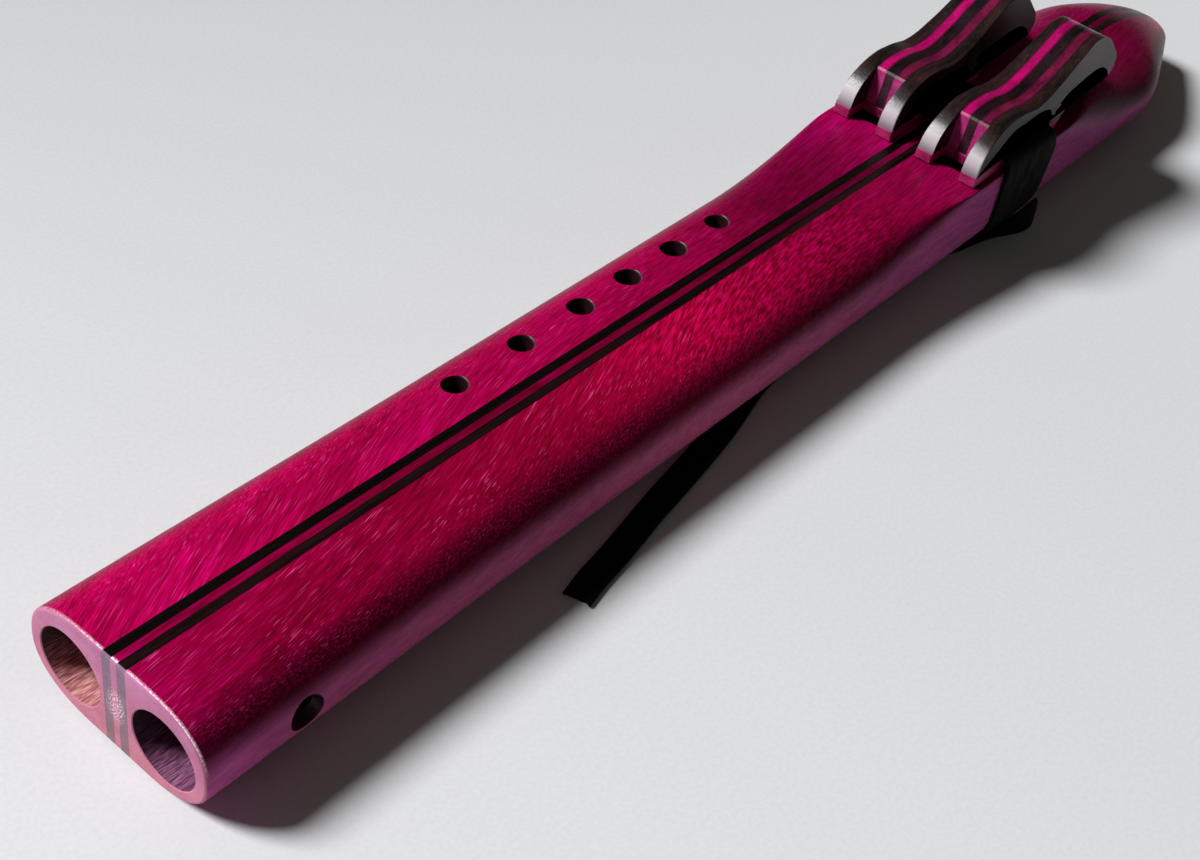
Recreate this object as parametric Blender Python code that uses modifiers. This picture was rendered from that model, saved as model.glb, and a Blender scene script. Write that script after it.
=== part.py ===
"""Double drone flute of laminated purpleheart and wenge, with two carved blocks and a leather strap.

The flute lies on its underside along X. The foot end, where both bores open, is at -X and the
mouth end at +X. The melody chamber, with the finger holes, is on the +Y side and the drone
chamber on the -Y side. Z is up, and the strap's underside is the plane that the flute rests on.
"""

import math

import bmesh
import bpy
from mathutils import Matrix, Vector

MM = 0.001

# Clearance that glued or touching pieces keep between their meshes.
GAP = 0.3 * MM

# Body blank and its two chambers.
BODY_LENGTH = 512.0 * MM
BORE_RADIUS = 11.1 * MM
MOUTH_END_WOOD = 60.0 * MM
DECK_HEIGHT = 17.1 * MM
KEEL_DEPTH = 15.4 * MM
FOOT_EDGE_ROUND = 0.9 * MM

# Laminations through the middle of the body.
CENTRE_STRIP_WIDTH = 2.3 * MM
ACCENT_STRIP_WIDTH = 3.0 * MM

# Wood left beside each chamber: towards the laminations, and at the sides of the foot, the waist
# over the finger holes and the nest under the blocks.
MIDDLE_WALL = 1.65 * MM
FOOT_SIDE_WALL = 3.9 * MM
WAIST_SIDE_WALL = 3.0 * MM
NEST_SIDE_WALL = 3.3 * MM
WAIST_X = 120.0 * MM

# Carving of the outside: rounded over the finger holes, square under the blocks, soft at the mouth.
FOOT_TOP_FLAT = 10.0 * MM
KEEL_FLAT = 11.0 * MM
NEST_EDGE = 1.2 * MM
NEST_CARVE_START = 258.0 * MM
NEST_CARVE_END = 325.0 * MM
NEST_FADE_LENGTH = 70.0 * MM
FOOT_TOP_POWER = 2.45
NEST_TOP_POWER = 3.0
NOSE_TOP_POWER = 2.0
KEEL_POWER = 2.2

# Nose at the mouth end: a straight taper in plan, and a top and keel that bend down and up.
ROUNDED_NOSE_LENGTH = 57.0 * MM
NOSE_TAPER_LENGTH = 51.0 * MM
NOSE_TAPER_BLEND = 10.0 * MM
NOSE_DROP_LENGTH = 47.0 * MM
NOSE_HALF_WIDTH = 10.6 * MM
NOSE_TOP = 2.4 * MM
NOSE_BOTTOM = 9.0 * MM
NOSE_DROP_POWER = 1.6
NOSE_ROUND = 4.0 * MM
NOSE_LIP_ROUND = 3.0 * MM
NOSE_FLAT_SHARE = 0.1
BLOW_HOLE_RADIUS = 2.0 * MM
BLOW_HOLE_OFFSET = 4.2 * MM
BLOW_CHANNEL_OFFSET = 13.0 * MM

# Finger holes: distance from the foot and radius.
FINGER_HOLES = (
    (127.1 * MM, 3.73 * MM),
    (153.8 * MM, 3.75 * MM),
    (179.3 * MM, 3.94 * MM),
    (200.7 * MM, 4.02 * MM),
    (222.4 * MM, 4.06 * MM),
    (244.0 * MM, 3.71 * MM),
)
FINGER_LINE = 15.7 * MM
FINGER_FLARE = 0.6 * MM

# Tuning hole in the drone's side, a little above the level of the chambers' axes.
TUNING_HOLE_X = 30.8 * MM
TUNING_HOLE_RISE = 0.9 * MM
TUNING_HOLE_RADIUS = 5.2 * MM

# Voicing under each block: sound hole, flue channel, air hole and the plug between the chambers.
FLUE_EXIT_X = 335.0 * MM
SOUND_HOLE_LENGTH = 4.5 * MM
VOICING_WIDTH = 10.4 * MM
FLUE_DEPTH = 1.2 * MM
FLUE_LENGTH = 24.0 * MM
AIR_HOLE_LENGTH = 8.0 * MM
PLUG_LENGTH = 12.0 * MM

# Carved blocks, measured from the front foot along the block and up from the deck.
BLOCK_FRONT_X = 325.4 * MM
BLOCK_FRONT_HALF_WIDTH = 11.9 * MM
BLOCK_REAR_HALF_WIDTH = 9.4 * MM
BLOCK_LENGTH = 96.0 * MM
BLOCK_SIDE_LEAN = 0.045
BLOCK_BASE_THICKNESS = 3.6 * MM
CENTRE_STRIPE_WIDTH = 3.4 * MM
PINK_STRIPE_WIDTH = 4.0 * MM
RAMP_TOP_X = 11.4 * MM
RAMP_FOOT_X = 9.7 * MM
RAMP_CHAMFER = 0.7 * MM
BASE_NOTCH_X = 9.2 * MM
BASE_HEEL_TOP_X = 59.2 * MM
BASE_HEEL_TIP_X = 55.6 * MM
BLOCK_TRAVEL = 2.0 * MM
TUNNEL_CLEARANCE = 0.5 * MM

# Heights of the carved outline above the deck, from the wings over the saddle to the rear crest,
# the tip of the overhanging tail, the arch below it and the tunnel for the strap.
WING_HEIGHT = 14.6 * MM
RAMP_HEIGHT = 16.7 * MM
BROW_HEIGHT = 17.8 * MM
SADDLE_HEIGHT = 16.2 * MM
CREST_HEIGHT = 28.0 * MM
TAIL_TIP_HEIGHT = 10.8 * MM
TAIL_HOOK_HEIGHT = 6.0 * MM
TAIL_ARCH_HEIGHT = 13.6 * MM
TUNNEL_HEIGHT = 12.8 * MM

# Leather strap: a band round the body and through both blocks, and its loose tail.
STRAP_THICKNESS = 1.2 * MM
STRAP_CENTRE_X = 358.3 * MM
STRAP_TUNNEL_WIDTH = 30.6 * MM
STRAP_FRONT_SPREAD = 2.2 * MM
STRAP_REAR_SPREAD = 0.6 * MM
STRAP_GATHER = 6.0 * MM

# Resolution of the curved surfaces.
BORE_SEGMENTS = 32
HOLE_SEGMENTS = 24
QUARTER_STEPS = 12
OUTLINE_STEPS = 4

# Height of the bore axes above the table: body, clearance and the strap under it.
AXIS_HEIGHT = KEEL_DEPTH + GAP + STRAP_THICKNESS
LAMINATED_EDGE = CENTRE_STRIP_WIDTH / 2 + ACCENT_STRIP_WIDTH
BORE_OFFSET = LAMINATED_EDGE + MIDDLE_WALL + BORE_RADIUS
FOOT_HALF_WIDTH = BORE_OFFSET + BORE_RADIUS + FOOT_SIDE_WALL
WAIST_HALF_WIDTH = BORE_OFFSET + BORE_RADIUS + WAIST_SIDE_WALL
NEST_HALF_WIDTH = BORE_OFFSET + BORE_RADIUS + NEST_SIDE_WALL
CHAMBER_END = BODY_LENGTH - MOUTH_END_WOOD
NEST_FADE_END = BODY_LENGTH - ROUNDED_NOSE_LENGTH
NEST_FADE_START = NEST_FADE_END - NEST_FADE_LENGTH
NOSE_TAPER_START = BODY_LENGTH - NOSE_TAPER_LENGTH
NOSE_DROP_START = BODY_LENGTH - NOSE_DROP_LENGTH
NOSE_AXIS_HEIGHT = (NOSE_TOP - NOSE_BOTTOM) / 2
BLOCK_SEAT = DECK_HEIGHT + GAP
LAMINATION_FOOT = GAP + BLOCK_BASE_THICKNESS + GAP
TUNNEL_HALF_LENGTH = STRAP_TUNNEL_WIDTH / 2 + BLOCK_TRAVEL + TUNNEL_CLEARANCE
TUNNEL_MIDDLE_X = STRAP_CENTRE_X - BLOCK_FRONT_X


def ease(value, start, end):
    """Smooth step from 0 at start to 1 at end."""
    t = min(max((value - start) / (end - start), 0.0), 1.0)
    return t * t * (3 - 2 * t)


def mix(a, b, t):
    return a + (b - a) * t


def remove_objects():
    for item in list(bpy.data.objects):
        bpy.data.objects.remove(item, do_unlink=True)


def new_collection(name):
    collection = bpy.data.collections.new(name)
    bpy.context.scene.collection.children.link(collection)
    return collection


def new_material(name, colour, roughness, metallic=0.0):
    material = bpy.data.materials.new(name)
    material.use_nodes = True
    shader = material.node_tree.nodes["Principled BSDF"]
    shader.inputs["Base Color"].default_value = (*colour, 1.0)
    shader.inputs["Roughness"].default_value = roughness
    shader.inputs["Metallic"].default_value = metallic
    return material


def new_object(name, mesh, collection, parent=None, material=None):
    item = bpy.data.objects.new(name, mesh)
    collection.objects.link(item)
    item.parent = parent
    if material:
        mesh.materials.append(material)
    return item


def new_empty(name, collection, location, parent=None):
    empty = bpy.data.objects.new(name, None)
    collection.objects.link(empty)
    empty.location = location
    empty.parent = parent
    empty.empty_display_size = 10 * MM
    return empty


def mesh_from(name, build):
    """New mesh filled by build(bm), with its normals made consistent."""
    bm = bmesh.new()
    build(bm)
    bmesh.ops.recalc_face_normals(bm, faces=bm.faces)
    mesh = bpy.data.meshes.new(name)
    bm.to_mesh(mesh)
    bm.free()
    return mesh


def as_cutter(item):
    item.hide_render = True
    item.display_type = "WIRE"
    return item


def box_cutter(name, collection, low, high, parent):
    """Box between two corners."""
    size = [b - a for a, b in zip(low, high)]
    middle = [(a + b) / 2 for a, b in zip(low, high)]

    def build(bm):
        bmesh.ops.create_cube(bm, size=1.0)
        bmesh.ops.scale(bm, vec=size, verts=bm.verts)

    item = new_object(name, mesh_from(name, build), collection, parent)
    item.location = middle
    return as_cutter(item)


def rod_cutter(name, collection, start, end, radius, segments, parent):
    """Round rod from start to end."""
    start = Vector(start)
    end = Vector(end)
    axis = end - start

    def build(bm):
        bmesh.ops.create_cone(
            bm, cap_ends=True, segments=segments, radius1=radius, radius2=radius, depth=axis.length
        )

    item = new_object(name, mesh_from(name, build), collection, parent)
    item.location = (start + end) / 2
    item.rotation_mode = "QUATERNION"
    item.rotation_quaternion = Vector((0, 0, 1)).rotation_difference(axis)
    return as_cutter(item)


def turned_object(name, collection, profile, segments, parent):
    """Solid turned about Z from a profile of (radius, height) points that runs top to bottom."""

    def build(bm):
        points = [bm.verts.new((radius, 0, height)) for radius, height in profile]
        for a, b in zip(points, points[1:]):
            bm.edges.new((a, b))

    item = new_object(name, mesh_from(name, build), collection, parent)
    screw = item.modifiers.new("turn", "SCREW")
    screw.steps = segments
    screw.render_steps = segments
    screw.use_merge_vertices = True
    screw.merge_threshold = 0.00001
    screw.use_smooth_shade = False
    return item


def cut(item, cutter, operation="DIFFERENCE"):
    modifier = item.modifiers.new(cutter.name, "BOOLEAN")
    modifier.operation = operation
    modifier.solver = "EXACT"
    modifier.object = cutter


def shade_smooth(item, angle=35.0):
    item.data.shade_smooth()
    item.data.set_sharp_from_angle(angle=math.radians(angle))


def past_corner(distance, blend):
    """Zero before a corner and the distance past it after, with a parabola between them."""
    if distance <= -blend:
        return 0.0
    if distance >= blend:
        return distance
    return (distance + blend) ** 2 / (4 * blend)


def body_half_width(x):
    """Half width in plan: a slight waist over the finger holes, then a straight taper to the nose."""
    width = mix(FOOT_HALF_WIDTH, WAIST_HALF_WIDTH, ease(x, 0.0, WAIST_X))
    width = mix(width, NEST_HALF_WIDTH, ease(x, NEST_CARVE_START, NEST_CARVE_END))
    slope = (NEST_HALF_WIDTH - NOSE_HALF_WIDTH) / (BODY_LENGTH - NOSE_TAPER_START)
    return width - slope * past_corner(x - NOSE_TAPER_START, NOSE_TAPER_BLEND)


def nose_drop(x):
    along = max((x - NOSE_DROP_START) / (BODY_LENGTH - NOSE_DROP_START), 0.0)
    return along**NOSE_DROP_POWER


def end_insets(x):
    """How far the section draws in at the eased foot edge and the nose tip, in plan and in height."""
    foot = FOOT_EDGE_ROUND * max(1 - x / FOOT_EDGE_ROUND, 0.0)
    turn = min(max((x - (BODY_LENGTH - NOSE_ROUND)) / NOSE_ROUND, 0.0), 1.0)
    round_off = 1 - math.sqrt(1 - turn * turn)
    return foot + NOSE_ROUND * round_off, foot + NOSE_LIP_ROUND * round_off


def section_quarter(half_width, height, flat, power):
    """Quarter outline from the side (half_width, 0) to the end of the flat (flat, height)."""
    points = []
    for step in range(QUARTER_STEPS + 1):
        angle = math.pi / 2 * step / QUARTER_STEPS
        across = max(math.cos(angle), 0.0) ** (2 / power)
        rise = max(math.sin(angle), 0.0) ** (2 / power)
        points.append((flat + (half_width - flat) * across, height * rise))
    return points


def body_section(x):
    """Closed outline (y, z) of the body at distance x from the foot."""
    plan_inset, height_inset = end_insets(x)
    drop = nose_drop(x)
    half_width = body_half_width(x) - plan_inset
    shoulder = mix(0.0, NOSE_AXIS_HEIGHT, drop)
    top = mix(DECK_HEIGHT, NOSE_TOP, drop) - height_inset - shoulder
    keel = mix(KEEL_DEPTH, NOSE_BOTTOM, drop) - height_inset + shoulder
    carve = ease(x, NEST_CARVE_START, NEST_CARVE_END)
    fade = ease(x, NEST_FADE_START, NEST_FADE_END)
    top_flat = mix(FOOT_TOP_FLAT, half_width - NEST_EDGE, carve)
    top_flat = mix(top_flat, NOSE_FLAT_SHARE * half_width, fade)
    power = mix(mix(FOOT_TOP_POWER, NEST_TOP_POWER, carve), NOSE_TOP_POWER, fade)
    keel_flat = mix(KEEL_FLAT, NOSE_FLAT_SHARE * half_width, fade)
    upper = section_quarter(half_width, top, top_flat, power)
    lower = section_quarter(half_width, -keel, keel_flat, KEEL_POWER)
    right = [(y, z + shoulder) for y, z in upper[::-1] + lower[1:]]
    left = [(-y, z) for y, z in right[::-1]]
    return right + left


def spread(start, end, steps):
    """Evenly spaced values after start, up to and including end."""
    return [mix(start, end, i / steps) for i in range(1, steps + 1)]


def body_stations():
    """Distances from the foot at which the section is drawn."""
    foot = [0.0, FOOT_EDGE_ROUND] + spread(FOOT_EDGE_ROUND, WAIST_X, 5)
    carve = [NEST_CARVE_START] + spread(NEST_CARVE_START, NEST_CARVE_END, 8)
    fade = [NEST_FADE_START] + spread(NEST_FADE_START, NEST_FADE_END, 7)
    tip_start = BODY_LENGTH - NOSE_ROUND
    nose = spread(NEST_FADE_END, tip_start, 9)
    tip_angles = (25, 45, 62, 76, 90)
    tip = [tip_start + NOSE_ROUND * math.sin(math.radians(a)) for a in tip_angles]
    return foot + carve + fade + nose + tip


def loft(name, rings, closed=False):
    """Skin through rings of equal length, capped at its ends unless it closes on itself."""

    def build(bm):
        loops = [[bm.verts.new(point) for point in ring] for ring in rings]
        pairs = list(zip(loops, loops[1:]))
        if closed:
            pairs.append((loops[-1], loops[0]))
        for first, second in pairs:
            count = len(first)
            for i in range(count):
                j = (i + 1) % count
                bm.faces.new((first[i], first[j], second[j], second[i]))
        if not closed:
            bm.faces.new(loops[0][::-1])
            bm.faces.new(loops[-1])

    return mesh_from(name, build)


def body_form():
    rings = [[(x, y, z) for y, z in body_section(x)] for x in body_stations()]
    return loft("body_form", rings)


def body_layer(name, form, inner, outer, side, parts, cutters, flute, material):
    """One lamination of the body between two distances from the middle, on one side."""
    item = new_object(name, form.copy(), parts, flute, material)
    reach = 2 * DECK_HEIGHT
    low = (-reach, min(side * inner, side * outer), -reach)
    high = (BODY_LENGTH + reach, max(side * inner, side * outer), reach)
    cut(item, box_cutter(name + "_slab", cutters, low, high, flute), "INTERSECT")
    return item


def bore_body(item, prefix, side, cutters, flute):
    """Chamber, voicing and blow channel of one side."""
    y = side * BORE_OFFSET
    past = 2 * MM
    chamber = rod_cutter(
        prefix + "_bore", cutters, (-past, y, 0), (CHAMBER_END, y, 0), BORE_RADIUS, BORE_SEGMENTS, flute
    )
    cut(item, chamber)
    half = VOICING_WIDTH / 2
    above = DECK_HEIGHT + past
    sound_low = (FLUE_EXIT_X - SOUND_HOLE_LENGTH, y - half, BORE_RADIUS / 2)
    sound_high = (FLUE_EXIT_X, y + half, above)
    cut(item, box_cutter(prefix + "_sound_hole", cutters, sound_low, sound_high, flute))
    flue_end = FLUE_EXIT_X + FLUE_LENGTH
    overlap = SOUND_HOLE_LENGTH / 2
    flue_low = (FLUE_EXIT_X - overlap, y - half, DECK_HEIGHT - FLUE_DEPTH)
    cut(item, box_cutter(prefix + "_flue", cutters, flue_low, (flue_end, y + half, above), flute))
    air_low = (flue_end - AIR_HOLE_LENGTH, y - half + MM, BORE_RADIUS / 2)
    air_high = (flue_end - MM, y + half - MM, DECK_HEIGHT)
    cut(item, box_cutter(prefix + "_air_hole", cutters, air_low, air_high, flute))


def blow_channel(prefix, side, cutters, flute):
    """Slanted channel from the mouth end into the slow air chamber."""
    past = 2 * MM
    start = (BODY_LENGTH + past, side * BLOW_HOLE_OFFSET, NOSE_AXIS_HEIGHT)
    end = (CHAMBER_END - past, side * BLOW_CHANNEL_OFFSET, 0)
    return rod_cutter(
        prefix + "_blow_channel", cutters, start, end, BLOW_HOLE_RADIUS, HOLE_SEGMENTS // 2, flute
    )


def finger_hole_cutter(index, x, radius, cutters, flute):
    """Turned cutter with a straight wall and a small flare at the top."""
    flare = radius + FINGER_FLARE
    above = DECK_HEIGHT + 2 * MM
    profile = (
        (0, above),
        (flare + 2 * MM, above),
        (flare, DECK_HEIGHT),
        (radius, DECK_HEIGHT - 2 * FINGER_FLARE),
        (radius, BORE_RADIUS / 2),
        (0, BORE_RADIUS / 2),
    )
    item = turned_object(f"finger_hole_{index}", cutters, profile, HOLE_SEGMENTS, flute)
    item.location = (x, FINGER_LINE, 0)
    return as_cutter(item)


def build_body(parts, cutters, flute, woods):
    """Two outer staves with their chambers, two dark strips and the strip between them."""
    form = body_form()
    centre_edge = CENTRE_STRIP_WIDTH / 2
    half_gap = GAP / 2
    outside = FOOT_HALF_WIDTH + 5 * MM
    for prefix, side in (("melody", 1), ("drone", -1)):
        stave = body_layer(
            prefix + "_body", form, LAMINATED_EDGE + half_gap, outside, side,
            parts, cutters, flute, woods["purpleheart"],
        )
        accent = body_layer(
            prefix + "_accent_strip", form, centre_edge + half_gap, LAMINATED_EDGE - half_gap, side,
            parts, cutters, flute, woods["wenge"],
        )
        bore_body(stave, prefix, side, cutters, flute)
        channel = blow_channel(prefix, side, cutters, flute)
        cut(stave, channel)
        cut(accent, channel)
        if prefix == "melody":
            for index, (x, radius) in enumerate(FINGER_HOLES, start=1):
                cut(stave, finger_hole_cutter(index, x, radius, cutters, flute))
        else:
            start = (TUNING_HOLE_X, side * outside, TUNING_HOLE_RISE)
            end = (TUNING_HOLE_X, side * BORE_OFFSET, TUNING_HOLE_RISE)
            cut(stave, rod_cutter("tuning_hole", cutters, start, end, TUNING_HOLE_RADIUS, HOLE_SEGMENTS, flute))
    centre = new_object("centre_strip", form.copy(), parts, flute, woods["purpleheart"])
    reach = 2 * DECK_HEIGHT
    edge = centre_edge - half_gap
    slab = box_cutter(
        "centre_strip_slab", cutters, (-reach, -edge, -reach), (BODY_LENGTH + reach, edge, reach), flute
    )
    cut(centre, slab, "INTERSECT")
    bpy.data.meshes.remove(form)


def build_plug(prefix, side, parts, flute, material):
    """Turned plug between the sounding chamber and the slow air chamber."""

    def build(bm):
        bmesh.ops.create_cone(
            bm, cap_ends=True, segments=BORE_SEGMENTS,
            radius1=BORE_RADIUS - GAP, radius2=BORE_RADIUS - GAP, depth=PLUG_LENGTH,
        )

    item = new_object(prefix + "_plug", mesh_from(prefix + "_plug", build), parts, flute, material)
    item.location = (FLUE_EXIT_X + PLUG_LENGTH / 2, side * BORE_OFFSET, 0)
    item.rotation_euler = (0, math.pi / 2, 0)


def on_overhang(share):
    """Distance along the block, as a share of its tail from the base's heel to the tip."""
    return mix(BASE_HEEL_TOP_X, BLOCK_LENGTH, share)


def on_tunnel(share):
    """Distance along the block, from the front of the strap's tunnel (-1) to its rear (1)."""
    return TUNNEL_MIDDLE_X + share * TUNNEL_HALF_LENGTH


# The carved outline of a block from the side, front to rear over the top. Each point is
# (distance from the front foot, height above the deck, kind), and S is smooth, C a corner.
WING_OUTLINE = (
    (0.3 * MM, LAMINATION_FOOT, "C"),
    (2.2 * MM, mix(LAMINATION_FOOT, WING_HEIGHT, 0.54), "S"),
    (7.4 * MM, WING_HEIGHT, "S"),
)
RAMP_OUTLINE = (
    (RAMP_FOOT_X, LAMINATION_FOOT, "C"),
    (RAMP_TOP_X, RAMP_HEIGHT - RAMP_CHAMFER, "C"),
    (RAMP_TOP_X + RAMP_CHAMFER, RAMP_HEIGHT, "C"),
)
BACK_OUTLINE = (
    (16.0 * MM, BROW_HEIGHT, "S"),
    (25.0 * MM, BROW_HEIGHT, "S"),
    (38.0 * MM, SADDLE_HEIGHT, "S"),
    (51.0 * MM, mix(SADDLE_HEIGHT, CREST_HEIGHT, 0.29), "S"),
    (on_overhang(0.08), mix(SADDLE_HEIGHT, CREST_HEIGHT, 0.69), "S"),
    (on_overhang(0.39), CREST_HEIGHT, "S"),
    (on_overhang(0.63), mix(TAIL_TIP_HEIGHT, CREST_HEIGHT, 0.85), "S"),
    (on_overhang(0.84), mix(TAIL_TIP_HEIGHT, CREST_HEIGHT, 0.5), "S"),
    (BLOCK_LENGTH, TAIL_TIP_HEIGHT, "S"),
    (on_overhang(0.91), TAIL_HOOK_HEIGHT, "C"),
    (on_overhang(0.81), mix(TAIL_HOOK_HEIGHT, TAIL_ARCH_HEIGHT, 0.55), "S"),
    (on_overhang(0.56), TAIL_ARCH_HEIGHT, "S"),
    (on_overhang(0.31), mix(LAMINATION_FOOT, TAIL_ARCH_HEIGHT, 0.83), "S"),
)
TUNNEL_OUTLINE = (
    (BASE_HEEL_TOP_X + GAP, LAMINATION_FOOT, "C"),
    (on_tunnel(1.0), LAMINATION_FOOT, "C"),
    (on_tunnel(0.87), mix(LAMINATION_FOOT, TUNNEL_HEIGHT, 0.63), "S"),
    (on_tunnel(0.54), mix(LAMINATION_FOOT, TUNNEL_HEIGHT, 0.93), "S"),
    (on_tunnel(-0.16), TUNNEL_HEIGHT, "S"),
    (on_tunnel(-0.75), mix(LAMINATION_FOOT, TUNNEL_HEIGHT, 0.95), "S"),
    (on_tunnel(-0.95), mix(LAMINATION_FOOT, TUNNEL_HEIGHT, 0.65), "S"),
    (on_tunnel(-1.0), LAMINATION_FOOT, "C"),
)


def outline_object(name, outline, thickness, collection):
    """Flat curve in the XZ plane through the outline, made thick across Y and turned to a mesh."""
    curve = bpy.data.curves.new(name, "CURVE")
    curve.dimensions = "2D"
    curve.fill_mode = "BOTH"
    curve.extrude = thickness / 2
    curve.resolution_u = OUTLINE_STEPS
    curve.render_resolution_u = OUTLINE_STEPS
    spline = curve.splines.new("BEZIER")
    spline.bezier_points.add(len(outline) - 1)
    spline.use_cyclic_u = True
    for point, (x, z, kind) in zip(spline.bezier_points, outline):
        point.co = (x, z, 0)
        handle = "AUTO" if kind == "S" else "VECTOR"
        point.handle_left_type = handle
        point.handle_right_type = handle
    guide = bpy.data.objects.new(name + "_outline", curve)
    collection.objects.link(guide)
    guide.rotation_euler = (math.pi / 2, 0, 0)
    bpy.context.view_layer.update()
    depsgraph = bpy.context.evaluated_depsgraph_get()
    mesh = bpy.data.meshes.new_from_object(guide.evaluated_get(depsgraph))
    mesh.transform(guide.matrix_world)
    bpy.data.objects.remove(guide, do_unlink=True)
    bm = bmesh.new()
    bm.from_mesh(mesh)
    bmesh.ops.remove_doubles(bm, verts=bm.verts, dist=0.00001)
    bmesh.ops.recalc_face_normals(bm, faces=bm.faces)
    bm.to_mesh(mesh)
    bm.free()
    mesh.name = name
    return mesh


def block_half_width(x, z):
    """Half width of a block: it narrows towards the rear and leans in a little with height."""
    plan = mix(BLOCK_FRONT_HALF_WIDTH, BLOCK_REAR_HALF_WIDTH, x / BLOCK_LENGTH)
    return plan - BLOCK_SIDE_LEAN * z


def lean_sides(mesh, offset, inner):
    """Move the outer faces of a piece drawn about y = 0 to the block's sides.

    Vertices are first shifted by offset, and those outside inner go to the leaning side plane.
    """
    for vertex in mesh.vertices:
        y = vertex.co.y + offset
        if abs(y) > inner:
            y = math.copysign(block_half_width(vertex.co.x, vertex.co.z), y)
        vertex.co.y = y
    mesh.update()


def build_block(prefix, side, parts, cutters, flute, woods):
    """One block: five upright laminations on a purpleheart base layer."""
    seat = new_empty(
        prefix + "_block_seat", parts, (BLOCK_FRONT_X, side * BORE_OFFSET, DECK_HEIGHT), flute
    )
    stripe_edge = CENTRE_STRIPE_WIDTH / 2
    core_edge = stripe_edge + PINK_STRIPE_WIDTH
    half_gap = GAP / 2
    cheek_outline = WING_OUTLINE + BACK_OUTLINE + TUNNEL_OUTLINE
    core_outline = RAMP_OUTLINE + BACK_OUTLINE + TUNNEL_OUTLINE
    cheek_width = BLOCK_FRONT_HALF_WIDTH - core_edge - half_gap
    for place, lean in (("outer", side), ("inner", -side)):
        name = f"{prefix}_block_{place}_cheek"
        mesh = outline_object(name, cheek_outline, cheek_width, cutters)
        lean_sides(mesh, lean * (core_edge + half_gap + cheek_width / 2), core_edge + cheek_width / 2)
        new_object(name, mesh, parts, seat, woods["wenge"])
        name = f"{prefix}_block_{place}_stripe"
        mesh = outline_object(name, core_outline, PINK_STRIPE_WIDTH - GAP, cutters)
        stripe = new_object(name, mesh, parts, seat, woods["purpleheart"])
        stripe.location.y = lean * (stripe_edge + core_edge) / 2
    name = prefix + "_block_centre_stripe"
    mesh = outline_object(name, core_outline, CENTRE_STRIPE_WIDTH - GAP, cutters)
    new_object(name, mesh, parts, seat, woods["wenge"])

    name = prefix + "_block_base"
    base_outline = (
        (0, GAP, "C"),
        (0.2 * MM, GAP + BLOCK_BASE_THICKNESS, "C"),
        (BASE_HEEL_TOP_X, GAP + BLOCK_BASE_THICKNESS, "C"),
        (BASE_HEEL_TIP_X, GAP, "C"),
    )
    mesh = outline_object(name, base_outline, 2 * BLOCK_FRONT_HALF_WIDTH, cutters)
    lean_sides(mesh, 0.0, core_edge)
    base = new_object(name, mesh, parts, seat, woods["purpleheart"])
    low = (-5 * MM, -core_edge, -MM)
    high = (BASE_NOTCH_X, core_edge, 2 * BLOCK_BASE_THICKNESS)
    cut(base, box_cutter(prefix + "_block_window", cutters, low, high, seat))


def strap_half(side):
    """Inside of the band from the middle of its top run round one side to the middle of its underside.

    Each point is (y, z, spread, gather): how far the band has spread from its width in the
    tunnels, and how far its rear edge is gathered forward, both from 0 to 1.
    """
    pulled = 1.0 if side < 0 else 0.0
    top = BLOCK_SEAT + BLOCK_BASE_THICKNESS + GAP
    edge = BORE_OFFSET + BLOCK_FRONT_HALF_WIDTH
    beside = NEST_HALF_WIDTH + GAP
    route = [
        (0.0, top, 0.0, 0.0),
        (BORE_OFFSET, top, 0.0, 0.0),
        (edge - 2 * MM, top, 0.0, 0.0),
        (edge + 0.7 * MM, top - 0.3 * MM, 0.1, 0.0),
        (beside - 0.6 * MM, top - 1.8 * MM, 0.5, 0.0),
        (beside + 0.1 * MM, DECK_HEIGHT - 0.5 * MM, 0.9, 0.0),
        (beside + 0.1 * MM, 0.45 * DECK_HEIGHT, 1.0, 0.1 * pulled),
        (beside, 0.0, 1.0, 0.3 * pulled),
    ]
    lower = section_quarter(beside, -(KEEL_DEPTH + GAP), KEEL_FLAT, KEEL_POWER)
    for step, (y, z) in enumerate(lower[1:], start=1):
        route.append((y, z, 1.0, mix(0.3, 1.0, ease(step, 0, 4)) * pulled))
    return [(side * y, z, spread_out, gather) for y, z, spread_out, gather in route]


def build_strap_band(parts, flute, material):
    melody = strap_half(1)
    drone = strap_half(-1)
    route = melody + [(0.0, melody[-1][1], 1.0, 0.5)] + drone[:0:-1]
    count = len(route)
    rings = []
    for i, (y, z, spread_out, gather) in enumerate(route):
        ahead = route[(i + 1) % count]
        behind = route[i - 1]
        along = Vector((ahead[0] - behind[0], ahead[1] - behind[1])).normalized()
        out_y = -along.y * STRAP_THICKNESS
        out_z = along.x * STRAP_THICKNESS
        front = STRAP_CENTRE_X - STRAP_TUNNEL_WIDTH / 2 - STRAP_FRONT_SPREAD * spread_out
        rear = STRAP_CENTRE_X + STRAP_TUNNEL_WIDTH / 2 + STRAP_REAR_SPREAD * spread_out
        rear -= STRAP_GATHER * gather
        rings.append((
            (front, y, z),
            (rear, y, z),
            (rear, y + out_y, z + out_z),
            (front, y + out_y, z + out_z),
        ))
    mesh = loft("strap_band", rings, closed=True)
    shade_smooth(new_object("strap_band", mesh, parts, flute, material))


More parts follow.
